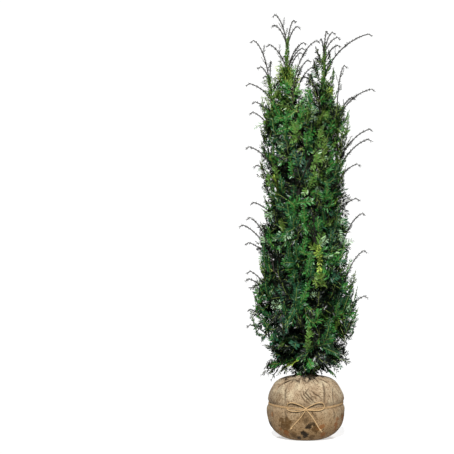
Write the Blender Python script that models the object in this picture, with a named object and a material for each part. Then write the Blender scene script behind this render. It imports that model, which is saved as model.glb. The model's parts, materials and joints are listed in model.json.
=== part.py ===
# English yew, a nursery plant about 1.6 m tall, standing on its root ball.
# Two leaders and four steep boughs rise from one short trunk, and masses of
# needle sprays stand round them. The ball is wrapped in hessian and tied with twine.
# Metres, Z up. The origin is the middle of the ball's flat underside, and the
# side that faces -Y carries the bow.

import math
import random

import bmesh
import bpy
import numpy as np
from mathutils import Vector
from mathutils.geometry import interpolate_bezier

CLEARANCE = 0.0003

# Root ball
BALL_RADIUS = 0.171
BALL_WAIST = 0.120
BALL_TOP = 0.278
BALL_BELLY = 0.130
BALL_UPPER_POWER = 2.9
BALL_LOWER_POWER = 2.4
BALL_SIDES = 32
COLLAR_RADIUS = 0.046
COLLAR_RISE = 0.010
SOCKET_DEPTH = 0.016
PLEATS = 10
PLEAT_DEPTH = 0.004
PLEATS_START = 0.19

# Twine round the ball
TWINE = 0.0046
TWINE_SIDES = 6
TWINE_HEIGHT = 0.156
TWINE_BITE = 0.0022
TWINE_BITE_SPREAD = 0.008
RING_NEAR_TWINE = 0.016

# Bow: how far across each loop reaches, and how far it rises and sinks; each tail's reach and fall
KNOT_SIZE = (0.0075, 0.0048, 0.0060)
BOW_LOOPS = (("left", -0.086, 0.031, 0.017), ("right", 0.082, 0.032, 0.012))
BOW_TAILS = (("left", -0.068, -0.098), ("right", 0.072, -0.108))
BOW_SIDES = 5
LOOP_STEPS = 14
TAIL_STEPS = 7
FRAYED_END = 0.62

# Trunk and boughs
TRUNK_BASE_RADIUS = 0.0155
ROOT_FLARE = 0.0060
FLARE_FADE = 0.022
TAPER_POWER = 0.8
LIMB_STEPS = 12
TRUNK_SIDES = 8
BOUGH_SIDES = 6

# Each limb: what it leaves and how high, where it bows to, its tip, and its radius at foot and tip
LIMBS = (
    ("trunk", None, 0, (-0.030, 0.008, 0.95), (-0.079, 0.000, 1.500), TRUNK_BASE_RADIUS, 0.0036),
    ("right_leader", "trunk", 0.41, (0.090, -0.050, 0.75), (0.077, 0.006, 1.470), 0.0085, 0.0032),
    ("front_bough", "trunk", 0.52, (-0.020, -0.125, 0.78), (0.002, -0.082, 1.360), 0.0070, 0.0026),
    ("back_bough", "trunk", 0.47, (0.018, 0.135, 0.74), (0.014, 0.088, 1.400), 0.0072, 0.0026),
    ("left_bough", "trunk", 0.74, (-0.150, 0.000, 0.98), (-0.146, -0.016, 1.420), 0.0062, 0.0024),
    ("right_bough", "right_leader", 0.80, (0.146, -0.008, 1.00), (0.138, -0.004, 1.350), 0.0058, 0.0024),
)

# Crown: the half width that its sprays keep to at each height above the ground
CROWN_PROFILE = (
    (0.285, 0.100),
    (0.340, 0.175),
    (0.450, 0.228),
    (0.620, 0.238),
    (0.860, 0.230),
    (1.050, 0.208),
    (1.300, 0.204),
    (1.480, 0.190),
    (1.620, 0.160),
    (1.760, 0.130),
    (1.900, 0.130),
)

# Long shoots that stand out of the crown: how far across and how high each one's tip is
SIDE_SHOOTS = (
    (-0.247, 1.758), (-0.214, 1.636), (-0.266, 1.566), (-0.240, 1.485), (-0.249, 1.436),
    (-0.266, 1.282), (-0.232, 1.203), (-0.245, 1.036), (-0.263, 0.969), (-0.297, 0.936),
    (-0.268, 0.858), (-0.263, 0.730), (-0.267, 0.697), (-0.262, 0.559), (-0.262, 0.493),
    (-0.222, 0.368), (0.294, 1.788), (0.308, 1.545), (0.298, 1.365), (0.289, 1.316),
    (0.243, 1.209), (0.236, 1.053), (0.265, 0.988), (0.272, 0.822), (0.272, 0.622),
)
TOP_SHOOTS = (
    (-0.149, 1.884), (-0.045, 1.852), (-0.025, 1.819), (-0.153, 1.823), (-0.174, 1.733),
    (0.000, 1.742), (0.098, 1.806), (0.154, 1.781),
)

# The limbs that masses grow on at each side, and the height from which they do
CARRIERS = {
    "left": (("left_bough", 0.82),),
    "right": (("right_leader", 0.50), ("right_bough", 0.90)),
    "front": (("front_bough", 0.56),),
    "back": (("back_bough", 0.56),),
}

# Tiers of masses round the body of the crown
TIERS = 6
DEEP_TIERS = 3
FIRST_TIER = 0.335
TIER_STEP = 0.168
TIER_TWIST = math.radians(17)
FIRST_RISE = -0.005
LAST_RISE = 0.190
FIRST_LIFT = -0.15
LAST_LIFT = 0.35
STEM_REACH = 0.66
TIER_SPRAYS = 9
TIER_SPRAY_LENGTH = 0.140

# Each quarter of a tier: its direction, and how far up the tier it starts, as a share of the step
QUARTERS = (
    ("left", math.pi, 0.00),
    ("front", -math.pi / 2, 0.50),
    ("right", 0.0, 0.08),
    ("back", math.pi / 2, 0.58),
)

# Masses beside the two leaders: the side, the height and the direction in degrees they leave at
CROWN_SIDES = (
    ("left_crown", "trunk", (("left", 1.34, 165), ("front", 1.38, -70), ("back", 1.36, 75))),
    ("right_crown", "right_leader", (("right", 1.32, 5), ("front", 1.36, -110), ("back", 1.39, 110))),
)
CROWN_SIDE_RISE = 0.170
CROWN_SIDE_REACH = 0.064
CROWN_SIDE_LIFT = 0.50
CROWN_SIDE_SPRAYS = 8
CROWN_SIDE_SPRAY_LENGTH = 0.130

# Masses that carry a limb's tip on: their length and lean, and their sprays
LIMB_TIPS = (
    ("left_leader_top", "trunk", 0.240, (0.07, 0.0, 0), 9, 0.140),
    ("right_leader_top", "right_leader", 0.240, (0.03, 0.02, 0), 10, 0.135),
    ("left_bough_top", "left_bough", 0.160, (-0.10, 0.0, 0), 8, 0.120),
    ("right_bough_top", "right_bough", 0.110, (0.05, 0.0, 0), 7, 0.110),
    ("front_bough_top", "front_bough", 0.080, (0.05, 0.0, 0), 7, 0.110),
    ("back_bough_top", "back_bough", 0.130, (0.05, 0.1, 0), 8, 0.115),
)
LIMB_TIP_LIFT = 0.45

# Stems, sprays and hearts of the masses
STEM_RADIUS = 0.0034
TOP_STEM_RADIUS = 0.0030
STEM_TIP_RADIUS = 0.0020
STEM_STEPS = 5
STEM_SIDES = 3
TWIG_ANGLE = math.radians(56)
GOLDEN_ANGLE = math.radians(137.5)
BLADE_THICKNESS = 0.0032
SPRAY_STATIONS = 4
SPRAY_WIDTH = 0.34
SPRAY_DROOP = 0.14
HIDDEN_IN_CROWN = 0.50
SHOOT_WIDTH = 0.013
SHOOT_STATIONS = 5
SHOOT_ROOM = 0.012
SPACE_MARGIN = 0.0015
LIMB_MARGIN = 0.002
CORE_PLACE = 0.60
CORE_EDGE = 0.87
CORE_REACH = 0.190
CORE_ROOM = 0.0035
CORE_DIPS = (0.66, 0.92)

BARK = ("yew_bark", (0.190, 0.105, 0.065), 0.85)
DEEP_NEEDLES = ("yew_needles_deep", (0.026, 0.056, 0.021), 0.45)
NEEDLES = ("yew_needles", (0.040, 0.082, 0.026), 0.45)
YOUNG_NEEDLES = ("yew_needles_young", (0.082, 0.138, 0.038), 0.45)
HESSIAN = ("hessian", (0.470, 0.335, 0.205), 0.95)
JUTE = ("jute_twine", (0.560, 0.405, 0.245), 0.90)


def clear_scene():
    for item in list(bpy.data.objects):
        bpy.data.objects.remove(item, do_unlink=True)


def material(name, colour, roughness):
    made = bpy.data.materials.get(name)
    if made is None:
        made = bpy.data.materials.new(name)
        made.use_nodes = True
        shader = made.node_tree.nodes["Principled BSDF"]
        shader.inputs["Base Color"].default_value = (*colour, 1)
        shader.inputs["Roughness"].default_value = roughness
        shader.inputs["Metallic"].default_value = 0
    return made


def add_object(name, mesh, finish, collection=None):
    made = bpy.data.objects.new(name, mesh)
    mesh.materials.clear()
    mesh.materials.append(material(*finish))
    (collection or bpy.context.scene.collection).objects.link(made)
    return made


def mesh_of(name, points, faces):
    made = bpy.data.meshes.new(name)
    made.from_pydata([tuple(p) for p in points], [], faces)
    made.validate()
    return made


def outward(azimuth):
    return Vector((math.cos(azimuth), math.sin(azimuth), 0))


def crown_radius(height):
    heights, radii = zip(*CROWN_PROFILE)
    return float(np.interp(height, heights, radii))


# Tubes

def curve_points(start, bow, end, steps):
    """Points on one smooth bend from start to end that leans towards bow."""
    first = start.lerp(bow, 2 / 3)
    second = end.lerp(bow, 2 / 3)
    return interpolate_bezier(start, first, second, end, steps + 1)


def tangents(path):
    ends = [path[0], *path, path[-1]]
    return [(b - a).normalized() for a, b in zip(ends, ends[2:])]


def tube_mesh(name, path, radii, sides, level_foot=False):
    """A closed tube with flat ends. level_foot turns its first ring level with the ground."""
    along = tangents(path)
    across = along[0].orthogonal().normalized()
    rings = []
    for place, way, radius in zip(path, along, radii):
        across = (across - way * across.dot(way)).normalized()
        other = way.cross(across)
        if level_foot and not rings:
            across, other = Vector((1, 0, 0)), Vector((0, 1, 0))
        turns = [2 * math.pi * k / sides for k in range(sides)]
        rings.append([place + (across * math.cos(a) + other * math.sin(a)) * radius for a in turns])
    points = [p for ring in rings for p in ring]
    faces = []
    for r in range(len(rings) - 1):
        for k in range(sides):
            a, b = r * sides + k, r * sides + (k + 1) % sides
            faces.append((a, b, b + sides, a + sides))
    faces.append(tuple(reversed(range(sides))))
    faces.append(tuple(range(len(points) - sides, len(points))))
    return mesh_of(name, points, faces)


# Limbs

class Limb:
    """A trunk or bough: one tapering bend between two points."""

    def __init__(self, name, start, bow, end, foot_radius, tip_radius, parent=None):
        self.name = name
        self.parent = parent
        self.sides = BOUGH_SIDES if parent else TRUNK_SIDES
        self.path = curve_points(Vector(start), Vector(bow), Vector(end), LIMB_STEPS)
        shares = [k / LIMB_STEPS for k in range(LIMB_STEPS + 1)]
        self.radii = [foot_radius + (tip_radius - foot_radius) * s**TAPER_POWER for s in shares]
        if parent is None:
            foot = self.path[0].z
            for k, place in enumerate(self.path):
                self.radii[k] += ROOT_FLARE * math.exp(-(place.z - foot) / FLARE_FADE)

    def at_height(self, height):
        """The point of the limb's axis at a height."""
        heights = [p.z for p in self.path]
        return Vector([np.interp(height, heights, [p[axis] for p in self.path]) for axis in range(3)])

    def tube(self, name, grown=0.0):
        """The limb's own mesh, or one whose faces stand that much further out."""
        spread = grown / math.cos(math.pi / self.sides)
        radii = [r + spread for r in self.radii]
        return tube_mesh(name, self.path, radii, self.sides, level_foot=self.parent is None)


def plan_limbs():
    foot = Vector((0, 0, BALL_TOP + COLLAR_RISE - SOCKET_DEPTH + CLEARANCE))
    limbs = {}
    for name, parent, height, bow, tip, foot_radius, tip_radius in LIMBS:
        start = limbs[parent].at_height(height) if parent else foot
        limbs[name] = Limb(name, start, bow, tip, foot_radius, tip_radius, parent)
    return limbs


def build_limbs(limbs):
    for limb in limbs.values():
        made = add_object(limb.name, limb.tube(limb.name), BARK)
        if limb.parent:
            cut_clear(made, limbs[limb.parent])


def cut_clear(made, limb):
    """Cuts a piece back from the limb that carries it, by the clearance all round."""
    cutter = add_object("cutter", limb.tube("cutter", CLEARANCE), BARK)
    cut = made.modifiers.new("seat", "BOOLEAN")
    cut.operation = "DIFFERENCE"
    cut.object = cutter
    cut.solver = "MANIFOLD"
    settle(made)
    bpy.data.objects.remove(cutter, do_unlink=True)
    keep_largest_body(made)


def settle(made):
    """Makes the shape that the modifiers give the piece's own mesh."""
    finish = made.data.materials[0]
    bpy.context.view_layer.update()
    graph = bpy.context.evaluated_depsgraph_get()
    mesh = bpy.data.meshes.new_from_object(made.evaluated_get(graph))
    mesh.materials.clear()
    mesh.materials.append(finish)
    made.modifiers.clear()
    made.data = mesh


def keep_largest_body(made):
    """Drops the loose scraps that a cut leaves, and the sealed hollows that fusing leaves."""
    work = bmesh.new()
    work.from_mesh(made.data)
    waiting = set(work.faces)
    bodies = []
    while waiting:
        body, edge = set(), [waiting.pop()]
        while edge:
            face = edge.pop()
            body.add(face)
            for link in face.edges:
                for other in link.link_faces:
                    if other in waiting:
                        waiting.discard(other)
                        edge.append(other)
        bodies.append(body)
    largest = max(bodies, key=len)
    loose = [face for body in bodies if body is not largest for face in body]
    bmesh.ops.delete(work, geom=loose, context="FACES")
    work.to_mesh(made.data)
    work.free()


# Masses of foliage

class Mass:
    """One mass: the bent stem that meets its limb, and how its sprays grow."""

    def __init__(self, name, limb, path, sprays, length, lift, green, core=True):
        self.name = name
        self.limb = limb
        self.path = path
        self.sprays = sprays
        self.length = length
        self.lift = lift
        self.green = green
        self.core = core
        self.shoots = []
        foot = STEM_RADIUS if core else TOP_STEM_RADIUS
        self.radii = list(np.linspace(foot, STEM_TIP_RADIUS, len(path)))


def carrier(quarter, height):
    """The limb that a mass grows on, by its side of the crown and its height."""
    limb = "trunk"
    for name, foot in CARRIERS[quarter]:
        if height > foot:
            limb = name
    return limb


def side_stem(limb, height, azimuth, rise, reach):
    """A stem that leaves a limb sideways and bends up to its reach from the crown's middle."""
    start = limb.at_height(height)
    tip = outward(azimuth) * reach + Vector((0, 0, height + rise))
    knee = start.lerp(tip, 0.45) + Vector((0, 0, 0.012 - 0.16 * rise))
    return curve_points(start, knee, tip, STEM_STEPS)


def crown_stem(limb, height, azimuth):
    """A stem that stands up close beside a leader."""
    start = limb.at_height(height)
    middle = limb.at_height(height + CROWN_SIDE_RISE)
    way = outward(azimuth)
    tip = Vector((middle.x, middle.y, height + CROWN_SIDE_RISE)) + way * CROWN_SIDE_REACH
    return curve_points(start, start.lerp(tip, 0.4) + way * (0.4 * CROWN_SIDE_REACH), tip, STEM_STEPS)


def tip_stem(limb, length, lean):
    """A stem that carries a limb's tip on, just clear of it."""
    way = (limb.path[-1] - limb.path[-2]).normalized()
    start = limb.path[-1] + way * CLEARANCE
    end = start + (way + Vector(lean)).normalized() * length
    return curve_points(start, start + way * (0.5 * length), end, STEM_STEPS)


def plan_tier(tier, limbs):
    share = tier / (TIERS - 1)
    rise = FIRST_RISE + (LAST_RISE - FIRST_RISE) * share
    lift = FIRST_LIFT + (LAST_LIFT - FIRST_LIFT) * share
    green = DEEP_NEEDLES if tier < DEEP_TIERS else NEEDLES
    for quarter, azimuth, start in QUARTERS:
        height = FIRST_TIER + TIER_STEP * (tier + start)
        reach = STEM_REACH * crown_radius(height + rise)
        limb = limbs[carrier(quarter, height)]
        heading = azimuth + TIER_TWIST * (-1) ** tier
        for turn in (0, 0.2, -0.2, 0.4, -0.4, 0.6, -0.6):
            path = side_stem(limb, height, heading + turn, rise, reach)
            if limb_gap(limbs, dense(path[1:], 2), limb.name).min() > 2 * STEM_RADIUS:
                break
        name = f"{quarter}_mass_{tier + 1}"
        yield Mass(name, limb.name, path, TIER_SPRAYS, TIER_SPRAY_LENGTH, lift, green)


def plan_masses(limbs):
    masses = [mass for tier in range(TIERS) for mass in plan_tier(tier, limbs)]
    for crown, limb, sides in CROWN_SIDES:
        for side, height, turn in sides:
            path = crown_stem(limbs[limb], height, math.radians(turn))
            size = (CROWN_SIDE_SPRAYS, CROWN_SIDE_SPRAY_LENGTH, CROWN_SIDE_LIFT)
            masses.append(Mass(f"{crown}_{side}", limb, path, *size, YOUNG_NEEDLES))
    for name, limb, length, lean, sprays, spray_length in LIMB_TIPS:
        path = tip_stem(limbs[limb], length, lean)
        size = (sprays, spray_length, LIMB_TIP_LIFT)
        masses.append(Mass(name, limb, path, *size, YOUNG_NEEDLES, core=False))
    return masses


def off_line(points, path, radii):
    """How far each point stays from a tube of these radii along a path."""
    points = np.array(points, float)
    path = np.array(path, float)
    radii = np.array(radii, float)
    run = path[1:] - path[:-1]
    share = ((points[:, None] - path[None, :-1]) * run).sum(axis=2) / (run * run).sum(axis=1)
    share = share.clip(0, 1)
    nearest = path[:-1] + share[..., None] * run
    away = np.linalg.norm(points[:, None] - nearest, axis=2)
    return (away - radii[:-1] - share * (radii[1:] - radii[:-1])).min(axis=1)


def limb_gap(limbs, points, skip=None):
    """How far each point stays from the bark of every limb but the one to skip."""
    others = [limb for limb in limbs.values() if limb.name != skip]
    return np.min([off_line(points, limb.path, limb.radii) for limb in others], axis=0)


class Space:
    """Tells which mass a point belongs to, and how near it comes to the limbs and the ball."""

    def __init__(self, masses, limbs):
        self.stems = {m.name: m.path for m in masses}
        self.limbs = limbs

    def distances(self, points):
        return {name: off_line(points, path, [0] * len(path)) for name, path in self.stems.items()}

    def holder(self, point):
        """The mass whose space holds a point."""
        away = self.distances([point])
        return min(away, key=lambda name: away[name][0])

    def nearness(self, name, points):
        """How much nearer each point is to this mass's stem than to any other."""
        away = self.distances(points)
        own = away.pop(name)
        return np.min(list(away.values()), axis=0) - own

    def free(self, points):
        """How far each point stays from the limbs and from the ball."""
        gap = limb_gap(self.limbs, points)
        over_ball = [
            max(z - BALL_TOP - COLLAR_RISE, math.hypot(x, y) - ball_radius(min(z, BALL_TOP)))
            for x, y, z in points
        ]
        return np.minimum(gap, over_ball)

    def fits(self, name, points, margin=SPACE_MARGIN, off_limbs=LIMB_MARGIN):
        """Which of the points lie in a mass's own space, and clear of limbs and ball."""
        return (self.nearness(name, points) > margin) & (self.free(points) > off_limbs)


def dense(path, parts):
    """The path with that many points to each step."""
    out = [a.lerp(b, k / parts) for a, b in zip(path, path[1:]) for k in range(parts)]
    return [*out, path[-1]]


def point_on(path, share):
    """The point and direction at a share of the path's steps."""
    place = share * (len(path) - 1)
    k = min(int(place), len(path) - 2)
    return path[k].lerp(path[k + 1], place - k), (path[k + 1] - path[k]).normalized()


def in_crown(points, part=1.0):
    return all(math.hypot(p.x, p.y) < part * crown_radius(p.z) for p in points)


def spray_path(place, heading, length):
    """A spray's midrib, which droops a little towards its tip."""
    shares = [k / SPRAY_STATIONS for k in range(SPRAY_STATIONS + 1)]
    return [place + heading * (length * s) - Vector((0, 0, SPRAY_DROOP * length * s * s)) for s in shares]


def blade(path, face, widths):
    """A toothed blade along a path: needles stand as teeth by turns on its two sides.

    The two ribs start inside the stem that carries the blade and meet at its tip.
    """
    count = len(path) - 1
    along = tangents(path)
    points = []
    for k, place in enumerate(path[:-1]):
        lift = (face - along[k] * face.dot(along[k])).normalized() * (BLADE_THICKNESS / 2)
        points += [place + lift, place - lift]
    points.append(path[-1])
    upper = [*range(0, 2 * count, 2), 2 * count]
    lower = [*range(1, 2 * count, 2), 2 * count]
    faces = []
    for hand, stops in ((1, [0, *range(2, count, 2), count]), (-1, [0, *range(1, count, 2), count])):
        for a, b in zip(stops, stops[1:]):
            side = face.cross(along[b]).normalized() * hand
            points.append(path[b] + side * widths[a])
            t = len(points) - 1
            fin = [(t, upper[k], upper[k + 1]) for k in range(a, b)]
            fin += [(t, lower[k + 1], lower[k]) for k in range(a, b)]
            fin.append((t, lower[a], upper[a]))
            if upper[b] != lower[b]:
                fin.append((t, upper[b], lower[b]))
            faces += fin if hand > 0 else [tuple(reversed(f)) for f in fin]
    return points, faces


def spray_widths(length):
    """How far each tooth of a spray stands out: widest before the middle."""
    shares = [k / SPRAY_STATIONS for k in range(SPRAY_STATIONS)]
    return [SPRAY_WIDTH * length * math.sin(math.pi * (0.22 + 0.66 * s)) for s in shares]


def shoot_path(start, tip):
    """A long young shoot that climbs from its stem, leans out and nods at its tip."""
    across = Vector((tip.x - start.x, tip.y - start.y, 0))
    first = start + across * 0.15 + Vector((0, 0, 0.62 * (tip.z - start.z)))
    second = tip - across * 0.30 + Vector((0, 0, 0.10 * across.length + 0.004))
    return interpolate_bezier(start, first, second, tip, SHOOT_STATIONS + 1)


def shoot_foot(path, tip):
    """Where a long shoot leaves its stem: low enough that it climbs."""
    for share in (0.95, 0.85, 0.75, 0.65, 0.55, 0.45, 0.35):
        place, _ = point_on(path, share)
        if place.z <= tip.z - 0.8 * math.hypot(tip.x - place.x, tip.y - place.y):
            break
    return place


def draw_in(work, mass, middle, space):
    """Pulls a core's faces in until none of them, nor what lies behind it, leaves the mass's space."""
    parts = 5
    spread = [(i, j, parts - i - j) for i in range(parts + 1) for j in range(parts + 1 - i)]
    weights = np.array(spread) / parts
    depths = np.array([1, 0.9, 0.8, 0.65, 0.5, 0.35])[:, None, None]
    middle = np.array(middle)
    unproved = list(work.faces)
    while unproved:
        corners = np.array([[tuple(v.co) for v in face.verts] for face in unproved]) - middle
        spots = middle + (weights @ corners)[:, None] * depths[None]
        fits = space.fits(mass.name, spots.reshape(-1, 3)).reshape(len(unproved), -1).all(axis=1)
        tight = {v for face, good in zip(unproved, fits) if not good for v in face.verts}
        for vertex in tight:
            vertex.co = Vector(middle).lerp(vertex.co, 0.92)
        unproved = [face for face in work.faces if tight.intersection(face.verts)]


def core_mesh(mass, space):
    """The dense heart of a mass: it fills the inner part of the mass's space, clear of the limbs."""
    draw = random.Random(mass.name)
    middle, _ = point_on(mass.path, CORE_PLACE)
    work = bmesh.new()
    bmesh.ops.create_icosphere(work, subdivisions=2, radius=1)
    steps = np.linspace(0.005, CORE_REACH, 30)
    for vertex in work.verts:
        way = vertex.co.normalized()
        ray = [middle + way * s for s in steps]
        fits = space.fits(mass.name, ray, CORE_ROOM, CORE_ROOM)
        fits &= np.array([in_crown([p], CORE_EDGE) for p in ray])
        reach = steps[max(int(np.cumprod(fits).sum()) - 1, 0)]
        tuft = len(vertex.link_edges) == 5
        vertex.co = middle + way * reach * (1 if tuft else draw.uniform(*CORE_DIPS))
    draw_in(work, mass, middle, space)
    mesh = bpy.data.meshes.new("core")
    work.to_mesh(mesh)
    work.free()
    return mesh


def share_out_shoots(masses, space):
    """Gives each long shoot to the mass whose space holds its tip and its way there."""
    draw = random.Random("shoots")
    by_name = {m.name: m for m in masses}
    wanted = [(across, height, 0.05, False) for across, height in SIDE_SHOOTS]
    wanted += [(across, height, 0.09, False) for across, height in TOP_SHOOTS]
    wanted += [(-0.9 * across, height - 0.05, 0.08, True) for across, height in SIDE_SHOOTS if height < 1.5]
    for across, height, depth, turned in wanted:
        for _ in range(20):
            aside = draw.uniform(-depth, depth)
            tip = Vector((aside, across, height) if turned else (across, aside, height))
            mass = by_name[space.holder(tip)]
            path = shoot_path(shoot_foot(mass.path, tip), tip)
            if space.fits(mass.name, dense(path[1:], 2), SHOOT_ROOM, SHOOT_ROOM).all():
                mass.shoots.append(tip)
                break


def spray_ways(mass, draw):
    """Where each spray leaves the stem, and which way: round the stem by turns, the last one straight on."""
    first = 0.30 if mass.core else 0.06
    turn = draw.uniform(0, 2 * math.pi)
    for k in range(mass.sprays + 1):
        share = first + (1 - first) * k / mass.sprays
        place, way = point_on(mass.path, share)
        across = way.orthogonal().normalized()
        turn += GOLDEN_ANGLE + draw.uniform(-0.3, 0.3)
        angle = 0 if k == mass.sprays else TWIG_ANGLE
        side = across * math.cos(turn) + way.cross(across) * math.sin(turn)
        heading = way * math.cos(angle) + side * math.sin(angle) + Vector((0, 0, mass.lift))
        fade = 1 if mass.core else 1.15 - 0.6 * share
        yield place, heading.normalized(), mass.length * fade * draw.uniform(0.9, 1.15)


def grow_mass(mass, limbs, space):
    draw = random.Random(mass.name)
    collection = bpy.data.collections.new(mass.name)
    bpy.context.scene.collection.children.link(collection)

    def grow_blade(path, face, widths):
        points, faces = blade(path, face, widths)
        teeth = points[2 * len(path) - 1:]
        between = [tooth.lerp(rib, 0.5) for tooth in teeth for rib in path]
        if not space.fits(mass.name, points[2:] + between).all():
            return False
        add_object("blade", mesh_of("blade", points, faces), mass.green, collection)
        return True

    if mass.core:
        add_object("core", core_mesh(mass, space), mass.green, collection)
    for place, heading, length in spray_ways(mass, draw):
        upward = Vector((place.x, place.y, 0)).normalized() * 0.8 + Vector((0, 0, 0.7))
        face = (upward - heading * upward.dot(heading)).normalized()
        for size in (length, 0.87 * length, 0.75 * length, 0.62 * length, 0.5 * length):
            path = spray_path(place, heading, size)
            if mass.core and in_crown([path[-1]], HIDDEN_IN_CROWN):
                break
            if in_crown(path) and grow_blade(path, face, spray_widths(size)):
                break
    for tip in mass.shoots:
        path = shoot_path(shoot_foot(mass.path, tip), tip)
        face = Vector((-tip.y, tip.x, 0)).normalized() + Vector((0, 0, 0.3))
        grow_blade(path, face.normalized(), list(np.linspace(SHOOT_WIDTH, 0.6 * SHOOT_WIDTH, SHOOT_STATIONS)))
    made = add_object(mass.name, tube_mesh(mass.name, mass.path, mass.radii, STEM_SIDES), mass.green)
    fuse_collection(made, collection)
    if mass.core:
        cut_clear(made, limbs[mass.limb])


def fuse_collection(made, collection):
    """Joins a collection's pieces to a piece by one union, and removes the collection."""
    union = made.modifiers.new("union", "BOOLEAN")
    union.operation = "UNION"
    union.operand_type = "COLLECTION"
    union.collection = collection
    union.solver = "MANIFOLD"
    settle(made)
    for item in list(collection.objects):
        bpy.data.objects.remove(item, do_unlink=True)
    bpy.data.collections.remove(collection)
    keep_largest_body(made)


# Root ball and twine

def ball_radius(height):
    """The ball's radius at a height, before its pleats."""
    if height > BALL_WAIST:
        share, power = (height - BALL_WAIST) / (BALL_TOP - BALL_WAIST), BALL_UPPER_POWER
    else:
        share, power = (BALL_WAIST - height) / BALL_BELLY, BALL_LOWER_POWER
    return BALL_RADIUS * max(0.0, 1 - share**power) ** (1 / power)


def ball_point(height, radius, azimuth):
    """A point of the wrapped ball, with its pleats above and the dent that the twine pulls in."""
    gathered = min(1.0, max(0.0, (height - PLEATS_START) / (BALL_TOP - PLEATS_START)))
    pleat = PLEAT_DEPTH * gathered * math.cos(PLEATS * azimuth + 0.6 * math.sin(2 * azimuth))
    dent = TWINE_BITE * math.exp(-(((height - TWINE_HEIGHT) / TWINE_BITE_SPREAD) ** 2))
    lump = 1 + 0.006 * math.sin(2 * azimuth + 0.8) + 0.004 * math.sin(3 * azimuth - 1.1)
    reach = (radius - dent) * lump + min(pleat, radius * 0.1)
    return outward(azimuth) * reach + Vector((0, 0, height))


def ball_rings():
    """Height and radius of each ring, from the flat underside over the top and down into the socket."""
    heights = [0.0]
    heights += [BALL_WAIST * (1 - math.cos(math.pi / 2 * k / 5)) + 0.002 * k for k in range(1, 5)]
    above = TWINE_HEIGHT + RING_NEAR_TWINE
    heights += [TWINE_HEIGHT - RING_NEAR_TWINE, TWINE_HEIGHT, above]
    heights += [above + (BALL_TOP - above) * math.sin(math.pi / 2 * k / 6) for k in range(1, 6)]
    rings = [(h, ball_radius(h)) for h in heights]
    socket = TRUNK_BASE_RADIUS + ROOT_FLARE + 2 * CLEARANCE
    lip = BALL_TOP + COLLAR_RISE
    rings += [(BALL_TOP, COLLAR_RADIUS), (lip, (COLLAR_RADIUS + socket) / 2), (lip, socket + 0.001)]
    rings += [(lip - SOCKET_DEPTH, socket + 0.0005)]
    return rings


def build_ball():
    rings = ball_rings()
    turns = [2 * math.pi * k / BALL_SIDES for k in range(BALL_SIDES)]
    points = []
    for n, (height, radius) in enumerate(rings):
        in_socket = n >= len(rings) - 2
        for a in turns:
            plain = outward(a) * radius + Vector((0, 0, height))
            points.append(plain if in_socket else ball_point(height, radius, a))
    faces = []
    for r in range(len(rings) - 1):
        for k in range(BALL_SIDES):
            a, b = r * BALL_SIDES + k, r * BALL_SIDES + (k + 1) % BALL_SIDES
            faces.append((a, b, b + BALL_SIDES, a + BALL_SIDES))
    faces.append(tuple(reversed(range(BALL_SIDES))))
    faces.append(tuple(range(len(points) - BALL_SIDES, len(points))))
    made = add_object("root_ball", mesh_of("root_ball", points, faces), HESSIAN)
    made.data.shade_smooth()
    return made


def on_ball(across, height, lift):
    """A point on the ball's front, that far across, and lifted off the cloth."""
    radius = ball_radius(height)
    azimuth = -math.pi / 2 + across / radius
    place = ball_point(height, radius, azimuth)
    slope = ball_radius(height + 0.004) - ball_radius(height - 0.004)
    normal = (outward(azimuth) * 0.008 - Vector((0, 0, slope))).normalized()
    return place + normal * lift


def build_girdle():
    """The turn of twine round the ball, in the dent that it pulls in."""
    turns = [2 * math.pi * k / BALL_SIDES for k in range(BALL_SIDES)]
    points, faces = [], []
    for a in turns:
        seat = ball_point(TWINE_HEIGHT, ball_radius(TWINE_HEIGHT), a)
        middle = seat + outward(a) * (TWINE / 2 + CLEARANCE)
        for k in range(TWINE_SIDES):
            b = 2 * math.pi * (k + 0.5) / TWINE_SIDES
            points.append(middle + (outward(a) * math.cos(b) + Vector((0, 0, math.sin(b)))) * (TWINE / 2))
    for n in range(BALL_SIDES):
        for k in range(TWINE_SIDES):
            m = (n + 1) % BALL_SIDES
            j = (k + 1) % TWINE_SIDES
            ring, other = n * TWINE_SIDES, m * TWINE_SIDES
            faces.append((ring + k, other + k, other + j, ring + j))
    add_object("twine_girdle", mesh_of("twine_girdle", points, faces), JUTE)


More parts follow.
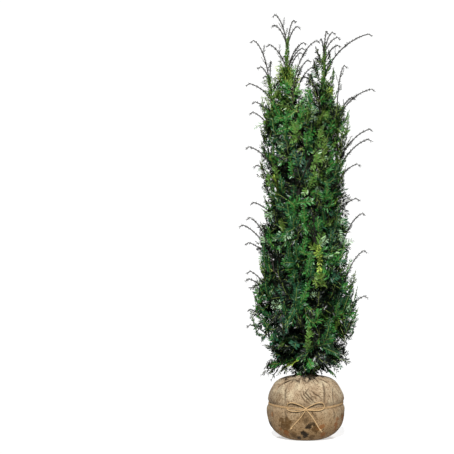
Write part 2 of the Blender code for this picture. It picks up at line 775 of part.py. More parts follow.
def build_bow():
    """The knot in front of the girdle, with two loops over it and two tails below."""
    collection = bpy.data.collections.new("bow")
    bpy.context.scene.collection.children.link(collection)
    over_girdle = 1.5 * TWINE + 7 * CLEARANCE
    on_cloth = TWINE / 2 + 2 * CLEARANCE
    knot = on_ball(0, TWINE_HEIGHT, TWINE + 2 * CLEARANCE + KNOT_SIZE[1])
    work = bmesh.new()
    bmesh.ops.create_icosphere(work, subdivisions=2, radius=1)
    for vertex in work.verts:
        vertex.co = knot + Vector([c * s for c, s in zip(vertex.co, KNOT_SIZE)])
    mesh = bpy.data.meshes.new("knot")
    work.to_mesh(mesh)
    work.free()
    made = add_object("twine_bow", mesh, JUTE)
    for side, across, rise, sink in BOW_LOOPS:
        path = [knot]
        for k in range(1, LOOP_STEPS):
            turn = 2 * math.pi * k / LOOP_STEPS
            out = 0.5 - 0.5 * math.cos(turn)
            lift = math.sin(turn) * (rise if turn < math.pi else sink) * (0.35 + 0.65 * out)
            path.append(on_ball(across * out, TWINE_HEIGHT + lift, over_girdle))
        path.append(knot)
        loop = tube_mesh(side, path, [TWINE / 2] * len(path), BOW_SIDES)
        add_object(side + "_loop", loop, JUTE, collection)
    for side, across, fall in BOW_TAILS:
        path = [knot]
        for k in range(1, TAIL_STEPS + 1):
            share = k / TAIL_STEPS
            lift = on_cloth + (over_girdle - on_cloth) * max(0, 1 - 4 * share)
            path.append(on_ball(across * share, TWINE_HEIGHT + fall * share, lift))
        radii = [TWINE / 2] * TAIL_STEPS + [TWINE * FRAYED_END]
        add_object(side + "_tail", tube_mesh(side, path, radii, BOW_SIDES), JUTE, collection)
    fuse_collection(made, collection)


def main():
    clear_scene()
    build_ball()
    build_girdle()
    build_bow()
    limbs = plan_limbs()
    build_limbs(limbs)
    masses = plan_masses(limbs)
    space = Space(masses, limbs)
    share_out_shoots(masses, space)
    for mass in masses:
        grow_mass(mass, limbs, space)


main()
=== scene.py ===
# A young yew on its wrapped root ball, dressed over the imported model. Lengths are in metres.

import json
import random
from dataclasses import dataclass
from math import ceil, copysign, cos, exp, hypot, pi, radians, sin, tau

import bpy
import numpy as np
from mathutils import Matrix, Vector, noise
from mathutils.geometry import interpolate_bezier

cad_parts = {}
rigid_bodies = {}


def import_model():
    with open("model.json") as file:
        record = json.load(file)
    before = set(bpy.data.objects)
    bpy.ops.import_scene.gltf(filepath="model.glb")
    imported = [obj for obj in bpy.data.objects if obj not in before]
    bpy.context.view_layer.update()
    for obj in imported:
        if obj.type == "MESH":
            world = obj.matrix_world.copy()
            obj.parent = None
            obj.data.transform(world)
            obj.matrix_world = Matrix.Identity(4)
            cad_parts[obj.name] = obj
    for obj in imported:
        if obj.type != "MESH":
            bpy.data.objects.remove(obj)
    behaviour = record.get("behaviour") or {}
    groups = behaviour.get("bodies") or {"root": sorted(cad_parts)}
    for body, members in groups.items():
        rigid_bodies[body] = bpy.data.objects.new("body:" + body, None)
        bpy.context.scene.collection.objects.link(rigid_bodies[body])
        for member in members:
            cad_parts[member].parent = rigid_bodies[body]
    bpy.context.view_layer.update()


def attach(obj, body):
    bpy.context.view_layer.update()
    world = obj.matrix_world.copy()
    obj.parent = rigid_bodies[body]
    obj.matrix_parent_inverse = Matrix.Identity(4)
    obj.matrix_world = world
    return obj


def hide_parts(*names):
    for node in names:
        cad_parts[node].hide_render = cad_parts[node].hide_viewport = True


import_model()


# Root ball
# The roots and their moist loam are wrapped in a square of hessian, a plain weave of coarse jute.
# It is gathered round the trunk, so it pleats at the neck and creases below, and the soil has stained it.

UP = Vector((0, 0, 1))
BALL_RADIUS, BALL_WAIST, BALL_TOP, BALL_BELLY = 0.171, 0.120, 0.278, 0.130
BALL_UPPER_POWER, BALL_LOWER_POWER = 2.9, 2.4
BULGE, BULGE_HEIGHT, BULGE_SPREAD = 0.0012, 0.128, 0.020
PLEATS, PLEAT_DEPTH, PLEATS_START = 10, 0.0100, 0.19
TWINE_HEIGHT, TWINE_BITE, TWINE_BITE_SPREAD = 0.156, 0.0078, 0.013
TWINE_SAG, TWINE_SAG_SPREAD = 0.008, 0.7
# Painted shade on the cloth above and below the twine: how dark it is, and how far it spreads
TWINE_PAINTED_SHADE, TWINE_PAINTED_SHADE_SPREAD = 0.55, 0.0062
NECK_RADIUS, COLLAR_RADIUS, TRUNK_HOLE = 0.052, 0.048, 0.0222
COLLAR_FRILL, COLLAR_RAGGED = 0.0085, 0.0028
CLOTH_SIDES = 360
UNDER_RINGS, LOWER_RINGS, UPPER_RINGS = 12, 56, 96
FLAT_BELOW, PUSH_FADE, RAGGED_ABOVE = 0.0005, 0.03, 0.002
MOTTLE, RAGGED = 260, (55, 140)

# The collar's rings, up its outside and down its inside: height above the ball's top, and radius
COLLAR_RINGS = (
    (0.0005, COLLAR_RADIUS), (0.0030, 0.0450), (0.0062, 0.0436), (0.0092, 0.0420), (0.0100, 0.0395),
    (0.0086, 0.0370), (0.0040, 0.0340), (-0.0010, 0.0290), (-0.0050, TRUNK_HOLE),
)

# The soft relief of the packed soil under the cloth: how far it pushes, and how often
LUMPS = ((0.0020, 2.6), (0.0011, 7.0))

# How a crease is shaped: its ridge and valley as shares of its depth, and the cloth's scale across it
RIDGE, VALLEY, CREASE_WIDEN = 0.75, 1.9, 1.25
ACROSS_CREASE, ACROSS_MARK = 0.16, 0.15
BACK_CREASES, BACK_MARKS = 34, 34

# Creases of the cloth in front: depth and width in mm, then its places, each as degrees and a height in mm
FRONT_CREASES = (
    (6.5, 5.0, -127, 270, -132, 261, -140, 251, -149, 234), (3.5, 3.0, -128, 274, -120, 261, -124, 254),
    (6.5, 5.0, -50, 272, -46, 262, -42, 252, -38, 236), (4.5, 3.6, -101, 277, -97, 264),
    (4.0, 3.2, -93, 277, -95, 266, -88, 258), (4.5, 3.6, -81, 277, -77, 263),
    (4.0, 3.2, -70, 276, -73, 264, -69, 252), (3.6, 3.4, -120, 268, -112, 262, -104, 262),
    (5.5, 4.5, -113, 274, -105, 258), (4.5, 4.0, -76, 273, -87, 260), (4.5, 4.0, -63, 272, -62, 256),
    (3.2, 3.6, -86, 233, -91, 219, -86, 203, -81, 188, -76, 172),
    (2.6, 3.4, -95, 226, -93, 209, -87, 191, -81, 175),
    (2.2, 3.4, -99, 220, -97, 203, -92, 185, -86, 172),
    (2.6, 3.4, -81, 226, -76, 212, -69, 202, -65, 188), (2.0, 3.0, -86, 221, -81, 203, -73, 190),
    (1.8, 7.0, -127, 231, -125, 206, -123, 176), (2.2, 7.0, -55, 252, -58, 225, -61, 176),
    (1.6, 6.0, -38, 225, -43, 197, -43, 172), (1.8, 6.0, -123, 141, -121, 115, -124, 92),
    (1.6, 5.0, -92, 138, -95, 108), (1.6, 5.0, -82, 136, -74, 108), (1.6, 6.0, -45, 138, -41, 100),
    (1.6, 6.0, -150, 138, -146, 104),
)

# Marks of the soil in front: strength, size in mm, and place as degrees and a height in mm
SOIL_MARKS = {
    "earth": [
        (1.0, 27, -123, 77), (0.9, 14, -128, 98), (0.8, 14, -113, 27), (1.0, 18, -74, 62),
        (0.8, 14, -79, 17), (0.7, 12, -52, 14), (0.35, 26, -145, 189), (0.45, 34, -90, 108),
    ],
    "rust": [
        (0.9, 14, -127, 36), (0.7, 10, -136, 50), (0.9, 12, -67, 70), (0.8, 13, -57, 31),
        (0.9, 10, -37, 75), (0.8, 8, -36, 97), (0.8, 8, -34, 52), (0.8, 10, -10, 180),
        (0.5, 9, -150, 117),
    ],
    "black": [
        (1.2, 18, -92, 36), (1.0, 11, -104, 18), (1.1, 14, -85, 72), (0.9, 9, -81, 86),
        (0.5, 10, -90, 97), (0.7, 10, -32, 18),
    ],
}


def colour(hexed):
    """The linear colour of an sRGB hex value."""
    parts = [int(hexed[k:k + 2], 16) / 255 for k in (1, 3, 5)]
    return [*(c / 12.92 if c <= 0.04045 else ((c + 0.055) / 1.055) ** 2.4 for c in parts), 1]


def add_node(tree, kind, inputs=None, stops=(), to=None, **settings):
    """One node with its settings, its inputs' values or links, a ramp's stops, and the socket it feeds."""
    made = tree.nodes.new(kind)
    for name, value in settings.items():
        setattr(made, name, value)
    for name, value in (inputs or {}).items():
        source = getattr(value, "outputs", [value])[0]
        if isinstance(source, bpy.types.NodeSocket):
            tree.links.new(source, made.inputs[name])
        else:
            made.inputs[name].default_value = value
    for k, (place, hexed) in enumerate(stops):
        stop = made.color_ramp.elements[k] if k < 2 else made.color_ramp.elements.new(place)
        stop.position = place
        stop.color = colour(hexed)
    if to:
        tree.links.new(made.outputs[0], to)
    return made


def new_material(name, base, roughness, specular=0.5):
    """A Principled material, its tree and its shader's inputs."""
    made = bpy.data.materials.new(name)
    made.use_nodes = True
    inputs = made.node_tree.nodes["Principled BSDF"].inputs
    inputs["Base Color"].default_value = colour(base)
    inputs["Roughness"].default_value = roughness
    inputs["Specular IOR Level"].default_value = specular
    return made, made.node_tree, inputs


def new_mesh(name, points, edges, faces):
    """A mesh of these points, edges and faces."""
    made = bpy.data.meshes.new(name)
    made.from_pydata([tuple(p) for p in points], edges, faces)
    return made


def new_object(name, data):
    """An object that holds this mesh, lamp or lens, in the scene."""
    made = bpy.data.objects.new(name, data)
    bpy.context.scene.collection.objects.link(made)
    return made


def dress(made, finish, slot, nodes):
    """Gives a piece its finish, the body it rides on and the nodes it stands for; its slot is not used."""
    made.data.materials.clear()
    made.data.materials.append(finish)
    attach(made, "root")
    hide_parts(*nodes)


def new_piece(name, points, faces, finish, slot, nodes):
    """A smooth, finished piece at the origin, riding on the plant and standing for its CAD nodes."""
    made = new_object(name, new_mesh(name, points, [], faces))
    made.data.shade_smooth()
    dress(made, finish, slot, nodes)
    return made


def tube_faces(rings, sides, first=0, closed=False):
    """The faces of a tube through rings of that many points: flat at both ends, or closed on itself."""
    faces = []
    for r in range(rings if closed else rings - 1):
        low, high = first + r * sides, first + (r + 1) % rings * sides
        faces += [(low + k, low + (k + 1) % sides, high + (k + 1) % sides, high + k) for k in range(sides)]
    if not closed:
        last = first + (rings - 1) * sides
        faces += [tuple(reversed(range(first, first + sides))), tuple(range(last, last + sides))]
    return faces


def outward(azimuth):
    """The level direction at an azimuth."""
    return Vector((cos(azimuth), sin(azimuth), 0))


def ball_radius(height):
    """The ball's radius at a height, before its pleats."""
    if height > BALL_WAIST:
        share, power = (height - BALL_WAIST) / (BALL_TOP - BALL_WAIST), BALL_UPPER_POWER
    else:
        share, power = (BALL_WAIST - height) / BALL_BELLY, BALL_LOWER_POWER
    return BALL_RADIUS * max(0.0, 1 - share**power) ** (1 / power)


def gathered(height):
    """How tightly the cloth is gathered: none at the sides, most at the neck."""
    return min(1.0, max(0.0, (height - PLEATS_START) / (BALL_TOP - PLEATS_START)))


def ball_point(height, radius, azimuth):
    """A point of the wrapped ball, with its pleats above and the dent that the twine pulls in."""
    turn = PLEATS * azimuth + 0.6 * sin(2 * azimuth)
    fold = 1.5 * abs(sin(turn / 2)) ** 0.7 - 1.0 + 0.35 * cos(23 * azimuth + 2 * sin(azimuth))
    pleat = PLEAT_DEPTH * gathered(height) ** 1.2 * fold
    dent = TWINE_BITE * exp(-(((height - TWINE_HEIGHT) / TWINE_BITE_SPREAD) ** 2))
    dent -= BULGE * exp(-(((height - BULGE_HEIGHT) / BULGE_SPREAD) ** 2))
    lump = 1 + 0.006 * sin(2 * azimuth + 0.8) + 0.004 * sin(3 * azimuth - 1.1)
    return outward(azimuth) * ((radius - dent) * lump + pleat) + UP * height


def turned_from(azimuths, middle):
    """How far azimuths lie from a middle one, the short way round."""
    return (azimuths - middle + pi) % tau - pi


def twine_sag(azimuth):
    """How far the twine hangs below its height, as it does where the knot weighs it down."""
    return TWINE_SAG * np.exp(-((turned_from(azimuth, -pi / 2) / TWINE_SAG_SPREAD) ** 2))


def back_creases(draw):
    """Creases like those in front, for the rest of the ball: pleats, slanting wrinkles and upright folds."""
    for k in range(BACK_CREASES):
        azimuth, top, slant = draw.uniform(-22, 200), draw.uniform(160, 262), draw.uniform(-14, 14)
        if k % 3 == 0:
            places = azimuth, 272, azimuth + slant * 0.4, 258, azimuth + slant, 236
            yield draw.uniform(3.0, 5.0), 3.8, *places
        elif k % 3 == 1:
            places = azimuth, top, azimuth + slant * 0.3, top - 22, azimuth + slant, top - 50
            yield draw.uniform(1.4, 2.8), draw.uniform(3.2, 6.0), *places
        else:
            low = draw.uniform(70, 100)
            places = azimuth, 139, azimuth + slant * 0.3, 118, azimuth + slant * 0.5, low
            yield draw.uniform(1.4, 2.2), draw.uniform(4.5, 6.5), *places


def to_line(azimuths, heights, places):
    """How far points of the cloth lie from a line through places on it, and the line's share there."""
    across = turned_from(azimuths, radians(places[0])) * ACROSS_CREASE
    spots = zip(places[::2], places[1::2])
    flat = [(radians(a - places[0]) * ACROSS_CREASE, h / 1000) for a, h in spots]
    best = np.full(across.shape, 9.0)
    share = np.zeros(across.shape)
    for k, ((ax, ay), (bx, by)) in enumerate(zip(flat, flat[1:])):
        run = (bx - ax) ** 2 + (by - ay) ** 2
        s = (((across - ax) * (bx - ax) + (heights - ay) * (by - ay)) / run).clip(0, 1)
        away = np.hypot(across - ax - s * (bx - ax), heights - ay - s * (by - ay))
        nearer = away < best
        best[nearer] = away[nearer]
        share[nearer] = ((k + s) / (len(flat) - 1))[nearer]
    return best, share


# Rings of the cloth: the flat underside, the side, the neck, the gathered collar and down beside the trunk
quarter = pi / 2
heights = [BALL_WAIST * (1 - cos(quarter * k / LOWER_RINGS)) for k in range(LOWER_RINGS + 1)]
shares = [sin(quarter * k / UPPER_RINGS) for k in range(1, UPPER_RINGS)]
heights += [BALL_WAIST + (BALL_TOP - BALL_WAIST) * share for share in shares]
rings = [(h, ball_radius(h)) for h in heights if h < BALL_WAIST or ball_radius(h) > NECK_RADIUS]
rings = [(0.0, rings[0][1] * k / UNDER_RINGS) for k in range(1, UNDER_RINGS)] + rings
side_rings = len(rings)
rings += [(BALL_TOP + rise, radius) for rise, radius in COLLAR_RINGS]

turns = [tau * k / CLOTH_SIDES for k in range(CLOTH_SIDES)]
points, along = [], []
length = 0.0
for r, (height, radius) in enumerate(rings):
    if r:
        length += hypot(height - rings[r - 1][0], radius - rings[r - 1][1])
    along.append(length)
    for a in turns:
        if height < FLAT_BELOW:
            points.append(outward(a) * radius)
        elif r < side_rings:
            points.append(ball_point(height, radius, a))
        else:
            loose = (radius - TRUNK_HOLE) / (COLLAR_RADIUS - TRUNK_HOLE)
            frill = 0.5 * cos(11 * a + 1.2 * sin(2 * a)) + 0.35 * cos(19 * a + 1.0)
            edge = COLLAR_RAGGED * noise.noise(outward(a) * 3.1) * (height > BALL_TOP + RAGGED_ABOVE)
            points.append(outward(a) * (radius + COLLAR_FRILL * frill * loose) + UP * (height + edge))
points = np.array(points)
azimuths = np.array(turns * len(rings))
levels = np.repeat([h for h, _ in rings], CLOTH_SIDES)

# Every crease pushes the cloth in along its valley and out beside it, and its valley is darkened with painted
# shade, as is the cloth along the twine
push = np.zeros(len(points))
crease = TWINE_PAINTED_SHADE * np.exp(-(((levels - TWINE_HEIGHT + twine_sag(azimuths)) / TWINE_PAINTED_SHADE_SPREAD) ** 2))
for depth, width, *places in (*FRONT_CREASES, *back_creases(random.Random("creases"))):
    away, share = to_line(azimuths, levels, places)
    width *= CREASE_WIDEN / 1000
    fade = np.sin(np.pi * (0.12 + 0.80 * share)) ** 0.5
    valley = np.exp(-(away / (0.5 * width)) ** 2)
    ridge = np.exp(-((away - 1.2 * width) / (0.7 * width)) ** 2)
    push += fade * depth / 1000 * (RIDGE * ridge - VALLEY * valley)
    crease = np.maximum(crease, fade * min(1.0, depth / 3) * np.exp(-(away / (0.62 * width)) ** 2))
for k in range(len(points)):
    spot = outward(azimuths[k]) + UP * (levels[k] / BALL_RADIUS)
    push[k] += sum(far * noise.noise(spot * often) for far, often in LUMPS)
push *= np.clip(levels / PUSH_FADE, 0, 1) * (levels < BALL_TOP)
ways = np.stack([np.cos(azimuths), np.sin(azimuths), np.zeros(len(points))], axis=1)
points = points + ways * push[:, None]

# The soil's marks are kept on the cloth's points: earth, rust and black
draw = random.Random("marks")
for k in range(BACK_MARKS):
    kind = draw.choice(("earth", "earth", "rust", "black"))
    low = draw.uniform(14, 110) if kind != "rust" else draw.uniform(30, 200)
    SOIL_MARKS[kind].append((draw.uniform(0.4, 0.9), draw.uniform(7, 20), draw.uniform(-25, 205), low))
mottled = np.array([noise.noise(Vector(p) * MOTTLE) for p in points])
coarse, fine = [np.array([noise.noise(Vector(p) * often) for p in points]) for often in RAGGED]
ragged = coarse + 0.6 * fine
# The painted shade of the creases and along the twine is kept on the cloth's points with the soil's marks
stains_and_shade = {"crease": crease}
for kind, marks in SOIL_MARKS.items():
    stains_and_shade[kind] = np.zeros(len(points))
    for strength, size, azimuth, height in marks:
        across = turned_from(azimuths, radians(azimuth)) * ACROSS_MARK
        away = np.hypot(across, levels - height / 1000) / (size / 1000) + 0.85 * ragged
        spread = strength * np.clip(3.2 - 2.5 * away, 0, 1) * (0.86 + 0.4 * mottled)
        stains_and_shade[kind] = np.maximum(stains_and_shade[kind], spread)

# Hessian is a plain weave of coarse undyed jute: dull, rough and straw brown, with its threads showing.
# The threads lie about 2.5 mm apart; they are drawn at twice that, so that they show at this distance.
WEAVE_PITCH = 0.0052
BLOTCH, SLUB, SPECK = 0.0385, 0.0111, 0.0059
# The cloth darkens towards the bottom between these heights: partly damp from the soil and partly painted
# shade
DAMP_SHADE_FROM, DAMP_SHADE_TO = 0.235, 0.040
DAMP_SHADE_COLOUR = "#8a6f4c"
# Colours of the painted shade in the creases and along the twine, and of the soil's stains
STAIN_AND_SHADE_COLOURS = (("crease", "#2c1c0c"), ("earth", "#422c0e"), ("rust", "#6b3f18"), ("black", "#1c1307"))

hessian, tree, inputs = new_material("hessian_plain_weave", "#b09a7c", 0.95, specular=0.12)
inputs["Sheen Weight"].default_value = 0.03
woven = add_node(tree, "ShaderNodeUVMap", uv_map="cloth")
place = add_node(tree, "ShaderNodeTexCoord").outputs["Object"]
threads = [
    add_node(tree, "ShaderNodeTexWave", {
        "Vector": woven, "Scale": pi / (10 * WEAVE_PITCH), "Distortion": 1.2, "Detail": 2.0,
        "Detail Scale": 0.6,
    }, bands_direction=direction).outputs["Fac"]
    for direction in "XY"
]
weave = add_node(tree, "ShaderNodeMath", dict(enumerate(threads)), operation="MULTIPLY")
blotches, slubs, specks = [
    add_node(tree, "ShaderNodeTexNoise",
             {"Vector": place, "Scale": 1 / size, "Detail": detail, "Roughness": 0.6})
    for size, detail in ((BLOTCH, 3.0), (SLUB, 3.0), (SPECK, 2.0))
]
cloth = add_node(tree, "ShaderNodeValToRGB", {"Fac": blotches},
                 ((0.32, "#988268"), (0.48, "#ae9a7f"), (0.66, "#c8b99c")))
height = add_node(tree, "ShaderNodeSeparateXYZ", {"Vector": place}).outputs["Z"]
damp_shade = add_node(tree, "ShaderNodeMapRange", {"Value": height, "From Min": DAMP_SHADE_FROM, "From Max": DAMP_SHADE_TO})
# Over the cloth's own colour lie the damp and painted shade of its foot, the weave with painted shade between
# its threads, specks, the soil's stains and the painted shade of its creases and along the twine
layers = [(damp_shade, "MIX", colour(DAMP_SHADE_COLOUR))]
# The weave's bands are partly its own pattern and partly painted shade between its threads; the specks are
# the jute's own uneven tone
for strength, source, stops in (
    (0.75, weave, ((0.0, "#a8a39c"), (0.5, "#ffffff"))),
    (0.80, specks, ((0.34, "#8a7a66"), (0.50, "#ffffff"))),
):
    layers.append((strength, "MULTIPLY", add_node(tree, "ShaderNodeValToRGB", {"Fac": source}, stops)))
for kind, mark_colour in STAIN_AND_SHADE_COLOURS:
    held = add_node(tree, "ShaderNodeAttribute", attribute_name=kind).outputs["Fac"]
    layers.append((held, "MIX", colour(mark_colour)))
for share, blend, over in layers:
    cloth = add_node(tree, "ShaderNodeMix", {0: share, 6: cloth, 7: over}, data_type="RGBA",
                     blend_type=blend).outputs[2]
tree.links.new(cloth, inputs["Base Color"])
relief = add_node(tree, "ShaderNodeBump", {"Height": weave, "Strength": 0.7, "Distance": 0.0009})
add_node(tree, "ShaderNodeBump", {"Height": slubs, "Normal": relief, "Strength": 0.6, "Distance": 0.0025},
         to=inputs["Normal"])

faces = tube_faces(len(rings), CLOTH_SIDES)
cloth_piece = new_piece("hessian_wrap", points, faces, hessian, "hessian", ["root_ball"])
layer = cloth_piece.data.uv_layers.new(name="cloth")
for face in cloth_piece.data.polygons:
    seam = max(v % CLOTH_SIDES for v in face.vertices) == CLOTH_SIDES - 1
    for loop, v in zip(face.loop_indices, face.vertices):
        k = v % CLOTH_SIDES + (CLOTH_SIDES if seam and v % CLOTH_SIDES == 0 else 0)
        layer.data[loop].uv = (k / CLOTH_SIDES * tau * BALL_RADIUS, along[v // CLOTH_SIDES])
for kind, values in stains_and_shade.items():
    cloth_piece.data.attributes.new(kind, "FLOAT", "POINT").data.foreach_set("value", values)


# Twine
# A three-strand jute twine holds the cloth: two turns round the ball's middle, tied in a bow in front.
# Its loops lie on the cloth and its two tails hang down, each with a knot and a frayed end.

TWINE, TWINE_GAP = 0.0042, 0.0022
STRAND_LAY, STRAND_SIDES = 0.013, 6
TURN_APART, TURN_POINTS = 0.0023, 96
KNOT_HEIGHT = TWINE_HEIGHT - TWINE_SAG
KNOT_WIDTH, KNOT_DEPTH, KNOT_RISE = 0.0041, 0.0048, 0.0054
TWINE_SUNK, SLOPE_STEP = 0.0002, 0.004
TAIL_KNOT, TAIL_COIL, FRAY, FRAY_LENGTH = 0.0034, 2.6 * pi, 1.6, 0.010
LOOP_STEPS, TAIL_STEPS, KNOT_STEPS = 14, 7, 12

# The bow's two loops: how far across each reaches, and how far it rises and sinks; its tails: across and down
BOW_LOOPS = ((-0.086, 0.031, 0.017), (0.082, 0.032, 0.012))
BOW_TAILS = ((-0.068, -0.098), (0.072, -0.108))

# The knot's turns over each other: the tilt and the size of each
KNOT_TURNS = ((0.5, 1.0), (-0.4, 0.92), (0.05, 0.80))


def on_ball(across, height, lift):
    """A point on the ball's front, that far across, and lifted off the cloth."""
    radius = ball_radius(height)
    azimuth = -pi / 2 + across / radius
    slope = ball_radius(height + SLOPE_STEP) - ball_radius(height - SLOPE_STEP)
    normal = (outward(azimuth) * (2 * SLOPE_STEP) - UP * slope).normalized()
    return ball_point(height, radius, azimuth) + normal * lift


def smooth_line(path, closed=False):
    """Points a small gap apart on a smooth curve through the path's points."""
    ends = [path[-1], *path, path[0], path[1]] if closed else [path[0], *path, path[-1]]
    out = []
    for a, b, c, d in zip(ends, ends[1:], ends[2:], ends[3:]):
        count = max(2, int((c - b).length / TWINE_GAP))
        for k in range(count):
            s = k / count
            out.append(0.5 * (2 * b + (c - a) * s + (2 * a - 5 * b + 4 * c - d) * s**2
                              + (3 * b - a - 3 * c + d) * s**3))
    return out if closed else [*out, path[-1]]


def length_of(path):
    """A path's length."""
    return sum((b - a).length for a, b in zip(path, path[1:]))


def round_way(way, side, turn):
    """The direction square to a way that lies that far round it from a side."""
    return side * cos(turn) + way.cross(side) * sin(turn)


def laid_twine(path, closed=False, radius=TWINE / 2, spread_end=0.0):
    """Three strands laid round each other along a path, which open out at a frayed end."""
    path = smooth_line(path, closed)
    length = length_of(path)
    lay = length / max(1, round(length / STRAND_LAY))
    ends = [path[-1], *path, path[0]] if closed else [path[0], *path, path[-1]]
    ways = [(b - a).normalized() for a, b in zip(ends, ends[2:])]
    points, faces = [], []
    for strand in range(3):
        faces += [face[::-1] for face in tube_faces(len(path), STRAND_SIDES, len(points), closed)]
        gone = 0.0
        for k, (place, way) in enumerate(zip(path, ways)):
            gone += (place - path[k - 1]).length if k else 0
            side = way.cross(UP if abs(way.z) < 0.9 else Vector((1, 0, 0))).normalized()
            turn = tau * (gone / lay + strand / 3)
            open_end = 1 + spread_end * max(0.0, 1 - (length - gone) / FRAY_LENGTH) ** 1.5
            middle = place + round_way(way, side, turn) * (0.52 * radius * open_end)
            for j in range(STRAND_SIDES):
                girth = 0.56 * radius * (1 + 0.10 * sin(7 * gone / lay + strand * 2 + j))
                points.append(middle + round_way(way, side, tau * j / STRAND_SIDES) * girth)
    return points, faces


def join(parts):
    """One list of points and faces from several."""
    points, faces = [], []
    for more_points, more_faces in parts:
        first = len(points)
        points += more_points
        faces += [tuple(first + v for v in face) for face in more_faces]
    return points, faces


# Jute twine is spun and laid but not dyed: golden and dull, with darker lines where its strands meet.
# The two turns take a darker copy of its colour, painted shade where they lie pressed into the cloth. Its
# fibres are drawn 2.4 mm wide to show.
FIBRE, FIBRE_RELIEF = 0.0024, 0.0011
jutes = {}
for name, stops in (
    ("jute_laid_twine", ((0.30, "#7d623c"), (0.50, "#a98b63"), (0.72, "#d2bb95"))),
    ("weathered_jute_twine", ((0.30, "#866a48"), (0.50, "#a08460"), (0.72, "#b49a76"))),
):
    jutes[name], tree, inputs = new_material(name, "#a08460", 0.9, specular=0.12)
    place = add_node(tree, "ShaderNodeTexCoord").outputs["Object"]
    fibres, fuzz = [
        add_node(tree, "ShaderNodeTexNoise",
                 {"Vector": place, "Scale": 1 / size, "Detail": 3.0, "Roughness": 0.6})
        for size in (FIBRE, FIBRE_RELIEF)
    ]
    add_node(tree, "ShaderNodeValToRGB", {"Fac": fibres}, stops, inputs["Base Color"])
    add_node(tree, "ShaderNodeBump", {"Height": fuzz, "Strength": 0.5, "Distance": 0.0004},
             to=inputs["Normal"])

turns_made = []
for hand in (1, -1):
    path = []
    for k in range(TURN_POINTS):
        azimuth = -pi / 2 + tau * k / TURN_POINTS
        met = min(1.0, 0.2 + 5 * abs(sin(pi * k / TURN_POINTS)))
        apart = TURN_APART * hand * (1 + 0.35 * sin(3 * azimuth + hand)) * met
        seat = ball_point(TWINE_HEIGHT + apart - twine_sag(azimuth), ball_radius(TWINE_HEIGHT), azimuth)
        path.append(seat + outward(azimuth) * (TWINE / 2 - TWINE_SUNK))
    turns_made.append(laid_twine(path, closed=True))
new_piece("twine_turns", *join(turns_made), jutes["weathered_jute_twine"], "jute_twine", ["twine_girdle"])

over_girdle = 1.5 * TWINE + 0.002
on_cloth = TWINE / 2 + 0.0008
knot = on_ball(0, KNOT_HEIGHT, TWINE + KNOT_DEPTH)
parts = []
for across, rise, sink in BOW_LOOPS:
    path = [knot]
    for k in range(1, LOOP_STEPS):
        turn = tau * k / LOOP_STEPS
        out = 0.5 - 0.5 * cos(turn)
        lift = sin(turn) * (rise if turn < pi else sink) * (0.35 + 0.65 * out)
        path.append(on_ball(across * out, KNOT_HEIGHT + 0.006 * out + lift, over_girdle))
    parts.append(laid_twine([*path, knot]))
for across, fall in BOW_TAILS:
    path = [knot]
    for share in np.arange(1, TAIL_STEPS + 1) / TAIL_STEPS:
        lift = on_cloth + (over_girdle - on_cloth) * max(0, 1 - 4 * share)
        sway = 0.003 * sin(5 * share)
        path.append(on_ball(across * share + sway, KNOT_HEIGHT + (fall + TWINE_SAG) * share, lift))
    parts.append(laid_twine(path, spread_end=FRAY))
    # A single overhand knot a little above the frayed end
    middle = path[-2].lerp(path[-1], 0.35)
    way = (path[-1] - path[-2]).normalized()
    side = way.cross(Vector((0, -1, 0))).normalized()
    wrap = [middle + round_way(way, side, t) * TAIL_KNOT + way * (0.0012 * t - 0.004)
            for t in np.linspace(0, TAIL_COIL, LOOP_STEPS)]
    parts.append(laid_twine(wrap, radius=TWINE / 2 * 0.9))
for tilt, size in KNOT_TURNS:
    ring = []
    for t in np.linspace(0, tau, KNOT_STEPS, endpoint=False):
        x, z = KNOT_WIDTH * cos(t) * size, KNOT_RISE * sin(t) * size
        ring.append(knot + Vector((x * cos(tilt) - z * sin(tilt), -0.0028 * cos(2 * t + tilt),
                                   x * sin(tilt) + z * cos(tilt))))
    parts.append(laid_twine(ring, closed=True))
new_piece("twine_bow_tied", *join(parts), jutes["jute_laid_twine"], "jute_twine", ["twine_bow"])


# Trunk and boughs
# The stem rises from the ball and forks low into a second leader and four thin boughs.
# Young yew bark is thin and reddish brown, and it splits into narrow upright flakes.

LIMB_STEPS, TAPER_POWER = 12, 0.8
TRUNK_FOOT, ROOT_FLARE, FLARE_FADE = 0.2723, 0.0060, 0.022
BARK_RING, BARK_RELIEF = 0.006, 0.0007
TRUNK_SIDES, LIMB_SIDES = 28, 14
FLAKES_ROUND, FLAKES_UP = 3.2, 34

# Each limb: what it leaves and how high, where it bows to, its tip, and its radius at foot and tip
LIMBS = (
    ("trunk", None, 0, (-0.030, 0.008, 0.95), (-0.079, 0.000, 1.500), 0.0155, 0.0036),
    ("right_leader", "trunk", 0.41, (0.090, -0.050, 0.75), (0.077, 0.006, 1.470), 0.0085, 0.0032),
    ("front_bough", "trunk", 0.52, (-0.020, -0.125, 0.78), (0.002, -0.082, 1.360), 0.0070, 0.0026),
    ("back_bough", "trunk", 0.47, (0.018, 0.135, 0.74), (0.014, 0.088, 1.400), 0.0072, 0.0026),
    ("left_bough", "trunk", 0.74, (-0.150, 0.000, 0.98), (-0.146, -0.016, 1.420), 0.0062, 0.0024),
    ("right_bough", "right_leader", 0.80, (0.146, -0.008, 1.00), (0.138, -0.004, 1.350), 0.0058, 0.0024),
)


def curve_points(start, bow, end, steps):
    """Points on one smooth bend from start to end that leans towards bow."""
    return interpolate_bezier(start, start.lerp(bow, 2 / 3), end.lerp(bow, 2 / 3), end, steps + 1)


def point_on(path, share):
    """The point and direction at a share of the path's steps."""
    place = share * (len(path) - 1)
    k = min(int(place), len(path) - 2)
    return path[k].lerp(path[k + 1], place - k), (path[k + 1] - path[k]).normalized()


def level_with(path, height):
    """The point of a climbing path at a height."""
    return Vector([np.interp(height, [p.z for p in path], [p[axis] for p in path]) for axis in range(3)])


